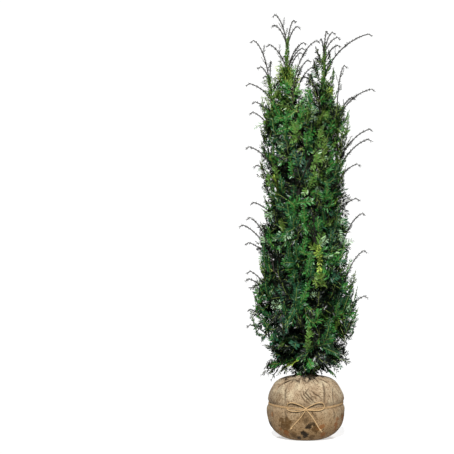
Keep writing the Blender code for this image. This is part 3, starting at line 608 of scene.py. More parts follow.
def bark_skin(path, radii, sides, flare):
    """Rings of a limb's bark: it swells at the foot, and flakes stand off it in upright strips."""
    count = int(length_of(path) / BARK_RING)
    across = Vector((1, 0, 0))
    points = []
    for r in range(count + 1):
        place, way = point_on(path, r / count)
        across = (across - way * across.dot(way)).normalized()
        radius = float(np.interp(r / count * LIMB_STEPS, range(LIMB_STEPS + 1), radii))
        radius += flare * exp(-(place.z - TRUNK_FOOT) / FLARE_FADE)
        for k in range(sides):
            side = round_way(way, across, tau * k / sides)
            spot = Vector((side.x * FLAKES_ROUND, side.y * FLAKES_ROUND, place.z * FLAKES_UP))
            flake = noise.noise(spot) + 0.6 * noise.noise(spot * 2.3)
            lump = 1 + 0.05 * noise.noise(Vector((side.x, side.y, place.z * 9)))
            points.append(place + side * (radius * lump + BARK_RELIEF * flake * radius / 0.012))
    return points, tube_faces(count + 1, sides)


# The limbs' paths and radii from foot to tip
limbs = {}
for name, parent, height, bow, tip, foot_radius, tip_radius in LIMBS:
    start = level_with(limbs[parent][0], height) if parent else UP * TRUNK_FOOT
    shares = [k / LIMB_STEPS for k in range(LIMB_STEPS + 1)]
    radii = [foot_radius + (tip_radius - foot_radius) * share**TAPER_POWER for share in shares]
    limbs[name] = (curve_points(start, Vector(bow), Vector(tip), LIMB_STEPS), radii)

# Yew bark is dry and dull: red-brown flakes about 4 mm wide and 24 mm long over a paler, pinkish under-bark
FLAKE_WIDTH, FLAKE_LENGTH = 0.0042, 0.0238
bark, tree, inputs = new_material("flaking_yew_bark", "#523b2c", 0.88)
place = add_node(tree, "ShaderNodeTexCoord").outputs["Object"]
upright = add_node(tree, "ShaderNodeMapping",
                   {"Vector": place, "Scale": (1 / FLAKE_WIDTH, 1 / FLAKE_WIDTH, 1 / FLAKE_LENGTH)})
strips = add_node(tree, "ShaderNodeTexNoise", {"Vector": upright, "Scale": 1, "Detail": 5, "Roughness": 0.6})
add_node(tree, "ShaderNodeValToRGB", {"Fac": strips},
         ((0.30, "#2a1d15"), (0.50, "#523b2c"), (0.66, "#7a5f4a")), inputs["Base Color"])
add_node(tree, "ShaderNodeBump", {"Height": strips, "Strength": 0.6, "Distance": 0.001}, to=inputs["Normal"])

for name, (path, radii) in limbs.items():
    sides, flare = (TRUNK_SIDES, ROOT_FLARE) if name == "trunk" else (LIMB_SIDES, 0.0)
    new_piece("bark_" + name, *bark_skin(path, radii, sides, flare), bark, "yew_bark", [name])


# Crown plan
# Each mass of foliage grows from one bent stem, and keeps to the space nearer to it than to others.
# Tiers of four stems go up the body, three stand beside each leader, and one carries each limb's tip on.

# A tip's stem stands just clear of its limb. Shoots may reach a little past their space, but not into a limb.
CLEARANCE, OVERLAP, LIMB_CLEAR, SHOOT_CLEAR = 0.0003, 0.015, 0.002, 0.004
TIERS, FIRST_TIER, TIER_STEP = 6, 0.335, 0.168
TIER_TWIST = radians(17)
FIRST_RISE, LAST_RISE = -0.005, 0.190
STEM_REACH, STEM_STEPS, STEM_TURNS = 0.66, 5, (0, 0.2, -0.2, 0.4, -0.4, 0.6, -0.6)
STEM_RADIUS, TOP_STEM_RADIUS, STEM_TIP_RADIUS = 0.0034, 0.0030, 0.0020
CROWN_SIDE_RISE, CROWN_SIDE_REACH = 0.170, 0.064
TWIG_ANGLE = radians(56)
GOLDEN_ANGLE = radians(137.5)

# The half width that the crown's sprays keep to at each height above the ground
CROWN_PROFILE = (
    (0.285, 0.100), (0.340, 0.175), (0.450, 0.228), (0.620, 0.238), (0.860, 0.230), (1.050, 0.208),
    (1.300, 0.204), (1.480, 0.190), (1.620, 0.160), (1.760, 0.130), (1.900, 0.130),
)

# The limbs that masses grow on at each side, from the ground up, and the height from which they do
CARRIERS = {
    "left": (("trunk", 0), ("left_bough", 0.82)),
    "right": (("trunk", 0), ("right_leader", 0.50), ("right_bough", 0.90)),
    "front": (("trunk", 0), ("front_bough", 0.56)),
    "back": (("trunk", 0), ("back_bough", 0.56)),
}

# Each quarter of a tier: its direction, and how far up the tier it starts, as a share of the step
QUARTERS = (("left", pi, 0.00), ("front", -quarter, 0.50), ("right", 0.0, 0.08), ("back", quarter, 0.58))

# Masses beside the two leaders: the leader, and the height and direction in degrees that each leaves it at
CROWN_SIDES = (
    ("left_crown_left", "trunk", 1.34, 165), ("left_crown_front", "trunk", 1.38, -70),
    ("left_crown_back", "trunk", 1.36, 75), ("right_crown_right", "right_leader", 1.32, 5),
    ("right_crown_front", "right_leader", 1.36, -110), ("right_crown_back", "right_leader", 1.39, 110),
)

# Masses that carry a limb's tip on: their length and lean, and their sprays
LIMB_TIPS = (
    ("left_leader_top", "trunk", 0.240, (0.07, 0.0, 0), 9, 0.140),
    ("right_leader_top", "right_leader", 0.240, (0.03, 0.02, 0), 10, 0.135),
    ("left_bough_top", "left_bough", 0.160, (-0.10, 0.0, 0), 8, 0.120),
    ("right_bough_top", "right_bough", 0.110, (0.05, 0.0, 0), 7, 0.110),
    ("front_bough_top", "front_bough", 0.080, (0.05, 0.0, 0), 7, 0.110),
    ("back_bough_top", "back_bough", 0.130, (0.05, 0.1, 0), 8, 0.115),
)


@dataclass
class Mass:
    """One mass of foliage: its stem and, where it carries a limb's tip on, its sprays and their length."""

    name: str
    path: list
    tops: int = 0
    length: float = 0.0


def at(height, table):
    """The value at a height of a table of heights and values."""
    return float(np.interp(height, *zip(*table)))


def dense(path, parts):
    """The path with that many points to each step."""
    out = [a.lerp(b, k / parts) for a, b in zip(path, path[1:]) for k in range(parts)]
    return [*out, path[-1]]


def off_line(points, path, radii):
    """How far each point stays from a tube of these radii along a path."""
    points, path, radii = [np.array(values, float) for values in (points, path, radii)]
    run = path[1:] - path[:-1]
    share = ((points[:, None] - path[None, :-1]) * run).sum(axis=2) / (run * run).sum(axis=1)
    share = share.clip(0, 1)
    nearest = path[:-1] + share[..., None] * run
    away = np.linalg.norm(points[:, None] - nearest, axis=2)
    return (away - radii[:-1] - share * (radii[1:] - radii[:-1])).min(axis=1)


def limb_gap(points, skip=None):
    """How far each point stays from the bark of every limb but the one to skip."""
    return np.min([off_line(points, *limb) for name, limb in limbs.items() if name != skip], axis=0)


masses = []
for tier in range(TIERS):
    rise = FIRST_RISE + (LAST_RISE - FIRST_RISE) * tier / (TIERS - 1)
    for side, azimuth, share in QUARTERS:
        height = FIRST_TIER + TIER_STEP * (tier + share)
        reach = STEM_REACH * at(height + rise, CROWN_PROFILE)
        limb = [name for name, foot in CARRIERS[side] if height > foot][-1]
        start = level_with(limbs[limb][0], height)
        # The stem leaves its limb sideways and bends up, turned as far as it has to be to miss the others
        for turn in STEM_TURNS:
            tip = outward(azimuth + TIER_TWIST * (-1) ** tier + turn) * reach + UP * (height + rise)
            path = curve_points(start, start.lerp(tip, 0.45) + UP * (0.012 - 0.16 * rise), tip, STEM_STEPS)
            if limb_gap(dense(path[1:], 2), limb).min() > 2 * STEM_RADIUS:
                break
        masses.append(Mass(f"{side}_mass_{tier + 1}", path))
for name, limb, height, turn in CROWN_SIDES:
    start = level_with(limbs[limb][0], height)
    away = outward(radians(turn)) * CROWN_SIDE_REACH
    tip = level_with(limbs[limb][0], height + CROWN_SIDE_RISE) + away
    tip.z = height + CROWN_SIDE_RISE
    masses.append(Mass(name, curve_points(start, start.lerp(tip, 0.4) + away * 0.4, tip, STEM_STEPS)))
for name, limb, length, lean, sprays, spray_length in LIMB_TIPS:
    below, end = limbs[limb][0][-2:]
    way = (end - below).normalized()
    start = end + way * CLEARANCE
    tip = start + (way + Vector(lean)).normalized() * length
    path = curve_points(start, start + way * (0.5 * length), tip, STEM_STEPS)
    masses.append(Mass(name, path, sprays, spray_length))
by_name = {mass.name: mass for mass in masses}
mass_names = list(by_name)


def stem_distances(points):
    """How far each point is from every mass's stem, one row for each mass."""
    return np.array([off_line(points, mass.path, [0] * len(mass.path)) for mass in masses])


def in_own_space(points, owners):
    """Which of the points lie in or near the space of the mass that owns them, and clear of the limbs."""
    away = stem_distances(points)
    rows = np.arange(len(points))
    own = away[owners, rows].copy()
    away[owners, rows] = np.inf
    return (away.min(axis=0) - own > -OVERLAP) & (limb_gap(points) > LIMB_CLEAR)


# Twigs
# Branchlets leave each stem at an angle and bend up to the crown's edge, and bear side shoots by turns.
# Old branchlets are brown, young shoots green, and the longest shoots arch out bare and thin, tips nodding.

# Side shoots and needles: how far apart, how long and how thick they are
SHOOT_SPACING, PLUME_SHOOT_SPACING = 0.0370, 0.026
SHOOT_LENGTH, PLUME_SHOOT, TIP_SHOOT = 0.056, 0.036, 0.022
BODY_NEEDLE, TOP_NEEDLE, TIP_NEEDLE = 0.0240, 0.0200, 0.0125
LONG_SHOOT_NEEDLE, LEADER_NEEDLE = 0.0085, 0.0135
TWIG_GIRTH, SIDE_SHOOT_GIRTH, LONG_SHOOT_GIRTH = 0.0008, (0.0012, 0.0008), (0.0032, 0.0021)

# The share of a branchlet's length at which its side shoots begin
BODY_FIRST, PLUME_FIRST, TIP_FIRST, RIGHT_TIP_FIRST = 0.28, 0.45, 0.20, 0.40

# Sprays of the crown's body: how many are tried, between which heights, and how deep in they end
BODY_SPRAYS, BODY_BAND = 1400, (0.330, 1.480)
BODY_DEPTHS = (0.90, 0.72, 0.84, 0.50, 0.88, 0.78, 0.62, 0.86)
BODY_SHIFT, TUFT_SWELL, GAP_BELOW, GAP_DEPTH = -0.007, 0.10, -0.22, 0.66

# Plumes stand up out of the crown's face, and inner sprays, mostly of the near-black green of painted shade,
# fill the shade behind it
PLUMES, PLUME_BAND, PLUME_DEPTHS, PLUME_LEAN = 280, (0.50, 1.50), (0.92, 1.09), (0.10, 0.50)
PLUME_RUN = 0.16
INNER_SPRAYS, INNER_BAND, INNER_DEPTHS = 420, (0.330, 1.420), (0.15, 0.55)

# Short sprays round the neck of the ball, and the tips that hang lowest in front: how far across and how high
FOOT_SPRAYS, FOOT_REACH, FOOT_BAND = 26, (0.030, 0.062), (0.306, 0.340)
HANGING_SPRAYS = (
    (-0.172, 0.322), (-0.128, 0.300), (-0.100, 0.306), (0.154, 0.342),
    (0.100, 0.300), (0.075, 0.310), (-0.145, 0.318), (0.125, 0.325),
)

# How far out the sprays stand at each height, as a share of the crown's profile, and how steeply they climb
BODY_TRIM = (
    (0.30, 0.74), (0.35, 0.80), (0.43, 0.90), (0.52, 0.95), (0.70, 0.95),
    (0.88, 0.84), (1.06, 0.80), (1.28, 0.93), (1.46, 1.00),
)
SLOPES = ((0.30, -0.8), (0.40, -0.1), (0.55, 0.7), (0.80, 1.8), (1.10, 2.8), (1.50, 3.4), (1.70, 4.0))

# Half width of the foliage round each leader at each height, and the limb it follows
CONE_SPRAYS, CONE_DEPTHS = 150, (1.00, 0.62, 0.86, 0.40)
LEADER_CONES = (
    ("trunk", "left_leader_top", ((1.40, 0.092), (1.46, 0.074), (1.56, 0.056), (1.60, 0.036), (1.64, 0.018))),
    ("right_leader", "right_leader_top", ((1.38, 0.078), (1.44, 0.056), (1.52, 0.042), (1.57, 0.022))),
)

# The gap between the two leaders: where it begins, how far across its middle lies, and its half width
LEADER_GAP_FOOT, LEADER_GAP, LEADER_GAP_HALF = 1.405, 0.022, 0.030

# Shoots up the right leader's tip, and how long they are at its foot and how much shorter at its top
RIGHT_TIP_SHOOTS, RIGHT_TIP_FOOT, RIGHT_TIP_SPAN, RIGHT_TIP_STEM = 34, -0.30, 1.24, 0.24
RIGHT_TIP_LENGTH, RIGHT_TIP_TAPER, RIGHT_TIP_SHOOT = 0.100, 0.055, 0.026

# Needles stand all round a leader: ranks of them, each with its direction in degrees and its green
LEADER_RANKS = ((-90, "olive"), (0, "leaf"), (45, "olive"), (135, "olive"), (20, "olive"), (-65, "leaf"))

# Long shoots that stand out of the crown: how far across and how high each one's tip is
SIDE_SHOOTS = (
    (-0.247, 1.758), (-0.214, 1.636), (-0.266, 1.566), (-0.240, 1.485), (-0.249, 1.436),
    (-0.266, 1.282), (-0.232, 1.203), (-0.245, 1.036), (-0.263, 0.969), (-0.297, 0.936),
    (-0.268, 0.858), (-0.263, 0.730), (-0.267, 0.697), (-0.262, 0.559), (-0.262, 0.493),
    (-0.222, 0.368), (0.294, 1.788), (0.308, 1.545), (0.298, 1.365), (0.289, 1.316),
    (0.243, 1.209), (0.236, 1.053), (0.265, 0.988), (0.272, 0.822), (0.272, 0.622),
)
TOP_SHOOTS = (
    (-0.149, 1.884), (-0.045, 1.852), (-0.025, 1.819), (-0.153, 1.823), (-0.174, 1.733),
    (0.000, 1.742), (0.098, 1.806), (0.154, 1.781), (-0.006, 1.716), (0.062, 1.764),
    (0.152, 1.736), (0.184, 1.650), (0.222, 1.512), (-0.192, 1.600), (0.132, 1.800),
    (-0.015, 1.696), (-0.155, 1.667), (-0.105, 1.690),
)
SIDE_PLAY, TOP_PLAY, TURNED_PLAY = 0.05, 0.09, 0.08
SHOOT_FEET, SHOOT_TRIES = (0.95, 0.8, 0.65, 0.5, 0.35), 20

# Shoots from this length on bear short side shoots low down: their number, their steps and their needles
LONG_SHOOT, LOW_SHOOTS, LOW_SHOOT_STEP, LOW_NEEDLES = 0.15, 3, 0.011, [0.006, 0.011, 0.011, 0.008]

# Shoots that cross the gap between the two leaders: the mass each one grows on, how far up it, and its tip
CROSS_SHOOTS = (
    ("left_crown_front", 0.95, 0.061, 1.761), ("left_crown_back", 0.85, 0.020, 1.672),
    ("right_crown_back", 0.70, -0.022, 1.600), ("left_crown_back", 0.60, 0.040, 1.640),
    ("right_crown_front", 0.90, 0.010, 1.590),
)

# How likely a spray is to take each green, low and high in the crown; sprays deep inside it mostly take the
# near-black shade green
# That shade green is painted shade; it is also commoner low in the crown and in the gaps between tufts
GREENS = ("shade", "blue", "deep", "leaf", "olive", "fresh", "spring")
LOW_ODDS, HIGH_ODDS = (13, 6, 9, 6, 0.3, 0.4, 0.0), (3, 1, 4, 9, 6, 8, 0.8)
PLUME_LOW_ODDS, PLUME_HIGH_ODDS = (10, 6, 9, 4, 0.3, 0.0, 0.0), (1.5, 0, 5, 9, 5, 4, 0.3)
INNER_ODDS, INNER_DEPTH = (40, 1, 3, 0, 0, 0, 0), 0.77
# The pale green that a few shoots take is partly the needles' pale undersides and partly painted highlight
TUFT_TINT, SHOOT_ODDS = 0.3, (6.0, 4.2, 0.8)
LEFT_TIP_GREENS, TIP_GREENS = ("leaf", "olive", "fresh", "spring"), ("deep", "leaf", "olive", "fresh")
RIGHT_TIP_GREENS = ("bronze", "shade", "deep", "leaf")
TIP_ODDS = (3, 3, 3, 2)


@dataclass
class Aim:
    """Where a spray ends: its tip, its heading there, how far out it lies, and how dense its tuft is."""

    tip: Vector
    way: Vector
    depth: float
    tuft: float = 0.0
    plume: bool = False


@dataclass
class Sprig:
    """One shoot: its path, which way its needles' upper sides face, and its girth and needle lengths."""

    path: list
    face: Vector
    girth: tuple
    needles: list
    tint: str
    ring: float = 0.0
    wood: str = "young"


def spaced(k, count, low, high):
    """The height of one of so many sprays, evenly spaced in a band."""
    return low + (high - low) * (k + 0.5) / count


def branchlet_to(stem, target, heading, run=0.0):
    """A bend that leaves a stem at about the twig angle and reaches a target along its heading."""
    def miss(spot):
        away = target - spot[0]
        return abs(spot[1].angle(away, 0.0) - TWIG_ANGLE) + 2.0 * away.length

    foot, way = min((point_on(stem, k / 20) for k in range(2, 21)), key=miss)
    length = (target - foot).length
    first = foot + (way * 0.5 + (target - foot).normalized() * 0.5) * (length * 0.36)
    second = target - heading.normalized() * max(run, length * 0.36)
    return interpolate_bezier(foot, first, second, target, 8)


def side_shoots(path, face, draw, longest, tint, needle, first, plume):
    """Shoots that leave a branchlet by turns on its two sides, shorter towards its tip."""
    open_angle = at(path[-1].z, ((0.5, 1.0), (1.0, 0.88)))
    spacing = PLUME_SHOOT_SPACING if plume else SHOOT_SPACING
    count = max(2, int(length_of(path) * (1 - first) / spacing))
    for k in range(count):
        share = first + (1 - first) * (k + 0.4) / count
        place, way = point_on(path, share)
        side = way.cross(face).normalized() * (-1) ** k
        spread = draw.uniform(0.75, 1.0) * open_angle - 0.25 * share
        lean = way * cos(spread) + side * sin(spread) + face * draw.uniform(-0.28, 0.22)
        lean.normalize()
        size = longest * (0.36 + 0.64 * sin(pi * min(1.0, 0.30 + 0.62 * share)))
        size *= draw.uniform(0.75, 1.2)
        bend = (way * 0.22 - UP * 0.10) * size
        shoot = [place + lean * (size * j / 3) + bend * (j / 3) ** 2 for j in range(4)]
        # Some shoots take the near-black shade green at random, as painted shade, and a few the pale green,
        # partly painted highlight
        own = tint if plume else draw.choices((tint, "shade", "pale"), SHOOT_ODDS)[0]
        lengths = [needle * share for share in (0.6, 1.0, 0.95, 0.62)]
        yield Sprig(shoot, face, SIDE_SHOOT_GIRTH, lengths, own)


def shoot_path(start, tip):
    """A long young shoot that climbs from its stem, leans out and nods at its tip."""
    across = Vector((tip.x - start.x, tip.y - start.y, 0))
    first = start + across * 0.15 + UP * (0.62 * (tip.z - start.z))
    nod = across.normalized() * 0.007 - UP * 0.003
    second = tip - nod * 2 - across * 0.34 - UP * (0.06 * (tip.z - start.z))
    path = interpolate_bezier(start, first, second, tip - nod * 2 + UP * 0.004, 14)
    return [*path, tip - nod + UP * 0.002, tip]


def shoot_foot(tip):
    """Where a long shoot leaves the nearest stem that lies low enough for it to climb."""
    feet = [point_on(mass.path, share)[0] for mass in masses for share in SHOOT_FEET]
    low = [foot for foot in feet if foot.z <= tip.z - 0.9 * (tip - foot).xy.length]
    return min(low, key=lambda foot: (tip - foot).length, default=None)


def tint_for(draw, aim):
    """A spray's green, by its height and by how far out it lies."""
    low, high = LOW_ODDS, HIGH_ODDS
    share = min(1.0, max(0.0, (aim.tip.z - 0.45) / 1.05))
    if aim.plume:
        low, high = PLUME_LOW_ODDS, PLUME_HIGH_ODDS
    # Sprays deep inside take mostly the near-black green of painted shade
    elif aim.depth < INNER_DEPTH and aim.tip.z < 1.5:
        low = high = INNER_ODDS
    else:
        share = share**1.6 + TUFT_TINT * aim.tuft
    return draw.choices(GREENS, [max(0.0, a + (b - a) * share) for a, b in zip(low, high)])[0]


def facing(heading, out, draw):
    """Which way a spray's upper side faces: up and out of the crown, never quite like its neighbour's."""
    up = out + UP * 0.45
    up += Vector((draw.uniform(-0.6, 0.6), draw.uniform(-0.6, 0.6), draw.uniform(-0.35, 0.35)))
    return (up - heading * up.dot(heading)).normalized()


sprigs, owners = [], []


def grow_spray(holder, path, draw, longest, tint, needle, first, wood="young", plume=False):
    """A branchlet with its side shoots, and the number of the mass that bears each."""
    heading = (path[-1] - path[-2]).normalized()
    out = Vector((path[-1].x, path[-1].y, 0)).normalized()
    face = facing(heading, out, draw)
    if plume:
        face = (out + 0.35 * face - heading * out.dot(heading)).normalized()
    girth = (TWIG_GIRTH + 0.010 * (path[-1] - path[0]).length, TWIG_GIRTH)
    lengths = [needle * (0 if k < 2 else min(1, 0.5 + 0.2 * k)) for k in range(len(path))]
    lengths[-1] = 0.6 * needle
    made = [Sprig(path, face, girth, lengths, tint, wood=wood)]
    made += side_shoots(path, face, draw, longest, tint, needle, first, plume)
    sprigs.extend(made)
    owners.extend([holder] * len(made))


draw = random.Random("body sprays")
aims = []
for k in range(BODY_SPRAYS):
    height = spaced(k, BODY_SPRAYS, *BODY_BAND)
    azimuth = GOLDEN_ANGLE * k + draw.uniform(-0.08, 0.08)
    # Tufts are long and level low in the crown, and narrow and upright above
    broad = at(height, ((0.5, 1.9), (0.9, 3.6)))
    tall = at(height, ((0.5, 7.5), (0.9, 3.0)))
    tuft = 1.6 * noise.noise(Vector((broad * cos(azimuth), broad * sin(azimuth), tall * height)))
    depth = BODY_DEPTHS[k % len(BODY_DEPTHS)] * draw.uniform(0.92, 1.05)
    way = outward(azimuth + draw.uniform(-0.6, 0.6))
    way.z = at(height, SLOPES) + draw.uniform(-0.4, 0.4)
    if tuft > GAP_BELOW or depth < GAP_DEPTH:
        reach = depth * at(height, BODY_TRIM) * (1 + TUFT_SWELL * tuft) * at(height, CROWN_PROFILE)
        aims.append(Aim(outward(azimuth) * reach + Vector((BODY_SHIFT, 0, height)), way, depth, tuft))
for k in range(PLUMES):
    height = spaced(k, PLUMES, *PLUME_BAND)
    azimuth = GOLDEN_ANGLE * k + draw.uniform(-0.15, 0.15)
    reach = draw.uniform(*PLUME_DEPTHS) * at(height, BODY_TRIM) * at(height, CROWN_PROFILE)
    way = outward(azimuth + draw.uniform(-0.9, 0.9)) * draw.uniform(*PLUME_LEAN) + UP
    aims.append(Aim(outward(azimuth) * reach + Vector((BODY_SHIFT, 0, height)), way, 1.0, plume=True))
for k in range(INNER_SPRAYS):
    height = spaced(k, INNER_SPRAYS, *INNER_BAND)
    out = outward(GOLDEN_ANGLE * k)
    reach = draw.uniform(*INNER_DEPTHS) * at(height, CROWN_PROFILE)
    aims.append(Aim(out * reach + UP * height, out + UP * 1.5, 0.4))
for k in range(FOOT_SPRAYS):
    out = outward(GOLDEN_ANGLE * k)
    tip = out * draw.uniform(*FOOT_REACH) + UP * draw.uniform(*FOOT_BAND)
    aims.append(Aim(tip, out - UP * draw.uniform(0.0, 0.6), 0.9, draw.uniform(-0.6, 0.6)))
for across, height in HANGING_SPRAYS:
    way = Vector((copysign(0.3, across), -0.25, -1))
    aims.append(Aim(Vector((across, draw.uniform(-0.09, 0.03), height)), way, 0.9))
for limb, top, cone in LEADER_CONES:
    low, high = cone[0][0], cone[-1][0]
    line = limbs[limb][0] + by_name[top].path
    for k in range(CONE_SPRAYS):
        height = low + (high - low) * ((k + 0.5) / CONE_SPRAYS) ** 1.15
        azimuth = GOLDEN_ANGLE * k
        depth = CONE_DEPTHS[k % len(CONE_DEPTHS)] * draw.uniform(0.92, 1.05)
        way = outward(azimuth + draw.uniform(-0.5, 0.5)) + UP * at(height, SLOPES)
        tip = outward(azimuth) * (depth * at(height, cone)) + level_with(line, height)
        aims.append(Aim(tip, way, 1.0 if depth > 0.5 else 0.6, 1.5 if limb == "trunk" else 0.0))

# Sky shows between the two leaders, so no spray ends in that gap
aims = [aim for aim in aims if aim.tip.z < LEADER_GAP_FOOT or abs(aim.tip.x - LEADER_GAP) > LEADER_GAP_HALF]
for aim, holder in zip(aims, stem_distances([aim.tip for aim in aims]).argmin(axis=0)):
    path = branchlet_to(masses[holder].path, aim.tip, aim.way, PLUME_RUN if aim.plume else 0.0)
    height = aim.tip.z
    needle = at(height, ((0.9, BODY_NEEDLE), (1.6, TOP_NEEDLE))) * draw.uniform(0.88, 1.12)
    longest = at(height, ((1.2, SHOOT_LENGTH), (1.6, 0.5 * SHOOT_LENGTH))) * draw.uniform(0.8, 1.15)
    if aim.plume:
        longest, needle = PLUME_SHOOT * draw.uniform(0.8, 1.2), TOP_NEEDLE
    tint = tint_for(draw, aim)
    wood = "young" if aim.plume or (aim.depth > 0.8 and height > 1.0) else "old"
    first = PLUME_FIRST if aim.plume else BODY_FIRST
    grow_spray(holder, path, draw, longest, tint, needle, first, wood, aim.plume)

# The limbs' tips bear slender sprays by turns: those of the left leader stop half way up, under its bare tip
for holder, mass in enumerate(masses):
    draw = random.Random(mass.name)
    turn = draw.uniform(0, tau)
    upper, greens = (0.42, LEFT_TIP_GREENS) if mass.name == "left_leader_top" else (0.94, TIP_GREENS)
    for k in range(0 if mass.name == "right_leader_top" else 2 * mass.tops):
        share = 0.06 + upper * k / (2 * mass.tops)
        place, way = point_on(mass.path, share)
        turn += GOLDEN_ANGLE + draw.uniform(-0.3, 0.3)
        side = round_way(way, way.orthogonal().normalized(), turn)
        heading = (way * 0.6 + side * 0.8 + UP * 0.8).normalized()
        size = mass.length * (0.95 - 0.6 * share) * draw.uniform(0.6, 0.9)
        hang = UP * (0.10 * size)
        tip = place + heading * size - hang
        path = interpolate_bezier(place, place + heading * (0.5 * size), tip + hang, tip, 8)
        grow_spray(holder, path, draw, TIP_SHOOT, draw.choices(greens, TIP_ODDS)[0], TIP_NEEDLE, TIP_FIRST)

# The right leader's tip bears upright shoots all round, from below its foot on and darker towards its top
mass = by_name["right_leader_top"]
draw = random.Random(mass.name)
turn = draw.uniform(0, tau)
for k in range(RIGHT_TIP_SHOOTS):
    share = RIGHT_TIP_FOOT + RIGHT_TIP_SPAN * k / RIGHT_TIP_SHOOTS
    place, way = point_on(mass.path, max(0, share))
    place = place + way * (min(0, share) * RIGHT_TIP_STEM)
    turn += GOLDEN_ANGLE
    lean = outward(turn) * draw.uniform(0.75, 1.05) + UP
    size = (RIGHT_TIP_LENGTH - RIGHT_TIP_TAPER * share) * draw.uniform(0.75, 1.15)
    tip = place + lean.normalized() * size
    path = interpolate_bezier(place, place + outward(turn) * (0.35 * size), tip - UP * (0.35 * size), tip, 6)
    odds = (2 + 2 * share, 1 + share, 3, 2.5 - 1.5 * share)
    tint = draw.choices(RIGHT_TIP_GREENS, odds)[0]
    grow_spray(masses.index(mass), path, draw, RIGHT_TIP_SHOOT, tint, TOP_NEEDLE, RIGHT_TIP_FIRST, plume=True)

# Each long shoot rises from the nearest stem below its tip and keeps clear of the limbs.
# A shoot that isn't seen in front stands at each side shoot's height, turned to the front or back.
draw = random.Random("shoots")
wanted = [((x, 0, z), (0, SIDE_PLAY, 0), None) for x, z in SIDE_SHOOTS]
wanted += [((x, 0, z), (0, TOP_PLAY, 0), None) for x, z in TOP_SHOOTS]
wanted += [((0, -0.9 * x, z - 0.05), (TURNED_PLAY, 0, 0), None) for x, z in SIDE_SHOOTS if z < 1.5]
for name, share, x, z in CROSS_SHOOTS:
    wanted.append(((x, 0, z), (0, SIDE_PLAY, 0), point_on(by_name[name].path, share)[0]))
long_shoots = []
for middle, play, foot in wanted:
    for _ in range(SHOOT_TRIES):
        tip = Vector(middle) + Vector(play) * draw.uniform(-1, 1)
        start = foot or shoot_foot(tip)
        path = shoot_path(start, tip) if start else None
        if path and limb_gap(path[2:]).min() > SHOOT_CLEAR:
            long_shoots.append(path)
            break

# Shoots that would leave their mass's space are cut to half, or left out
ends = [sprig.path[-1] for sprig in sprigs]
middles = [sprig.path[len(sprig.path) // 2] for sprig in sprigs]
grown, sprigs = sprigs, []
for sprig, whole, half in zip(grown, in_own_space(ends, owners), in_own_space(middles, owners)):
    if not whole:
        stop = len(sprig.path) // 2 + 1
        sprig.path, sprig.needles = sprig.path[:stop], sprig.needles[:stop]
    if whole or half:
        sprigs.append(sprig)
for path in long_shoots:
    needles = [0] * 3 + [LONG_SHOOT_NEEDLE] * (len(path) - 3)
    sprigs.append(Sprig(path, UP, LONG_SHOOT_GIRTH, needles, "bronze", 1.0, "ripening"))
    for k in range(LOW_SHOOTS if (path[-1] - path[0]).length > LONG_SHOOT else 0):
        place, way = point_on(path, 0.16 + 0.12 * k + draw.uniform(-0.04, 0.04))
        side = round_way(way, way.orthogonal().normalized(), 2.4 * k)
        lean = (way + side * 0.8 + UP * 0.3).normalized()
        shoot = [place + lean * (LOW_SHOOT_STEP * j) + UP * (0.0012 * j * j) for j in range(4)]
        sprigs.append(Sprig(shoot, side, SIDE_SHOOT_GIRTH, LOW_NEEDLES, "bronze", 0.0, "ripening"))
for mass in masses:
    if mass.tops:
        path = dense(mass.path, 2)
        path.append(path[-1] + (path[-1] - path[-2]) * 1.6)
        needles = [LEADER_NEEDLE] * (len(path) - 2) + [0.9 * LEADER_NEEDLE, 0.6 * LEADER_NEEDLE]
        girth = (TOP_STEM_RADIUS, STEM_TIP_RADIUS)
        for side, green in LEADER_RANKS:
            sprigs.append(Sprig(path, outward(radians(side)), girth, needles, green, 1.0))
    else:
        bare = [0] * len(mass.path)
        sprigs.append(Sprig(mass.path, UP, (STEM_RADIUS, STEM_TIP_RADIUS), bare, "bare", 0.0, "old"))


def line_piece(name, chosen):
    """A mesh of bare edges along shoots, which holds their girth, facing and needle lengths."""
    points, edges = [], []
    held = {"girth": [], "needle": [], "ring": [], "face_way": []}
    for sprig in chosen:
        count = len(sprig.path)
        edges += [(k, k + 1) for k in range(len(points), len(points) + count - 1)]
        points += sprig.path
        held["girth"] += list(np.linspace(*sprig.girth, count))
        held["needle"] += sprig.needles
        held["ring"] += [sprig.ring] * count
        held["face_way"] += [*sprig.face] * count
    mesh = new_mesh(name, points, edges, [])
    for field, values in held.items():
        kind, item = ("FLOAT_VECTOR", "vector") if field == "face_way" else ("FLOAT", "value")
        mesh.attributes.new(field, kind, "POINT").data.foreach_set(item, values)
    return new_object(name, mesh)


def new_tree(name, **sockets):
    """A geometry tree with lines going in and a mesh coming out, and its named inputs."""
    made = bpy.data.node_groups.new(name, "GeometryNodeTree")
    for label, kind in {"Lines": "Geometry", **sockets}.items():
        made.interface.new_socket(label, in_out="INPUT", socket_type="NodeSocket" + kind)
    made.interface.new_socket("Mesh", in_out="OUTPUT", socket_type="NodeSocketGeometry")
    return made, add_node(made, "NodeGroupInput").outputs


def end_tree(made, geometry, finish):
    """The tree's end: instances made real, their material set, and the way out."""
    real = add_node(made, "GeometryNodeRealizeInstances", {"Geometry": geometry})
    painted = add_node(made, "GeometryNodeSetMaterial", {"Geometry": real, "Material": finish})
    add_node(made, "NodeGroupOutput", {"Mesh": painted})


def bake(made, grower, values):
    """Runs a tree on a piece with these values for its inputs, and keeps the plain mesh."""
    growth = made.modifiers.new(grower.name, "NODES")
    growth.node_group = grower
    for item in grower.interface.items_tree:
        if item.in_out == "INPUT" and item.name in values:
            growth[item.identifier] = values[item.name]
    bpy.context.view_layer.update()
    graph = bpy.context.evaluated_depsgraph_get()
    mesh = bpy.data.meshes.new_from_object(made.evaluated_get(graph))
    made.modifiers.remove(growth)
    made.data = mesh


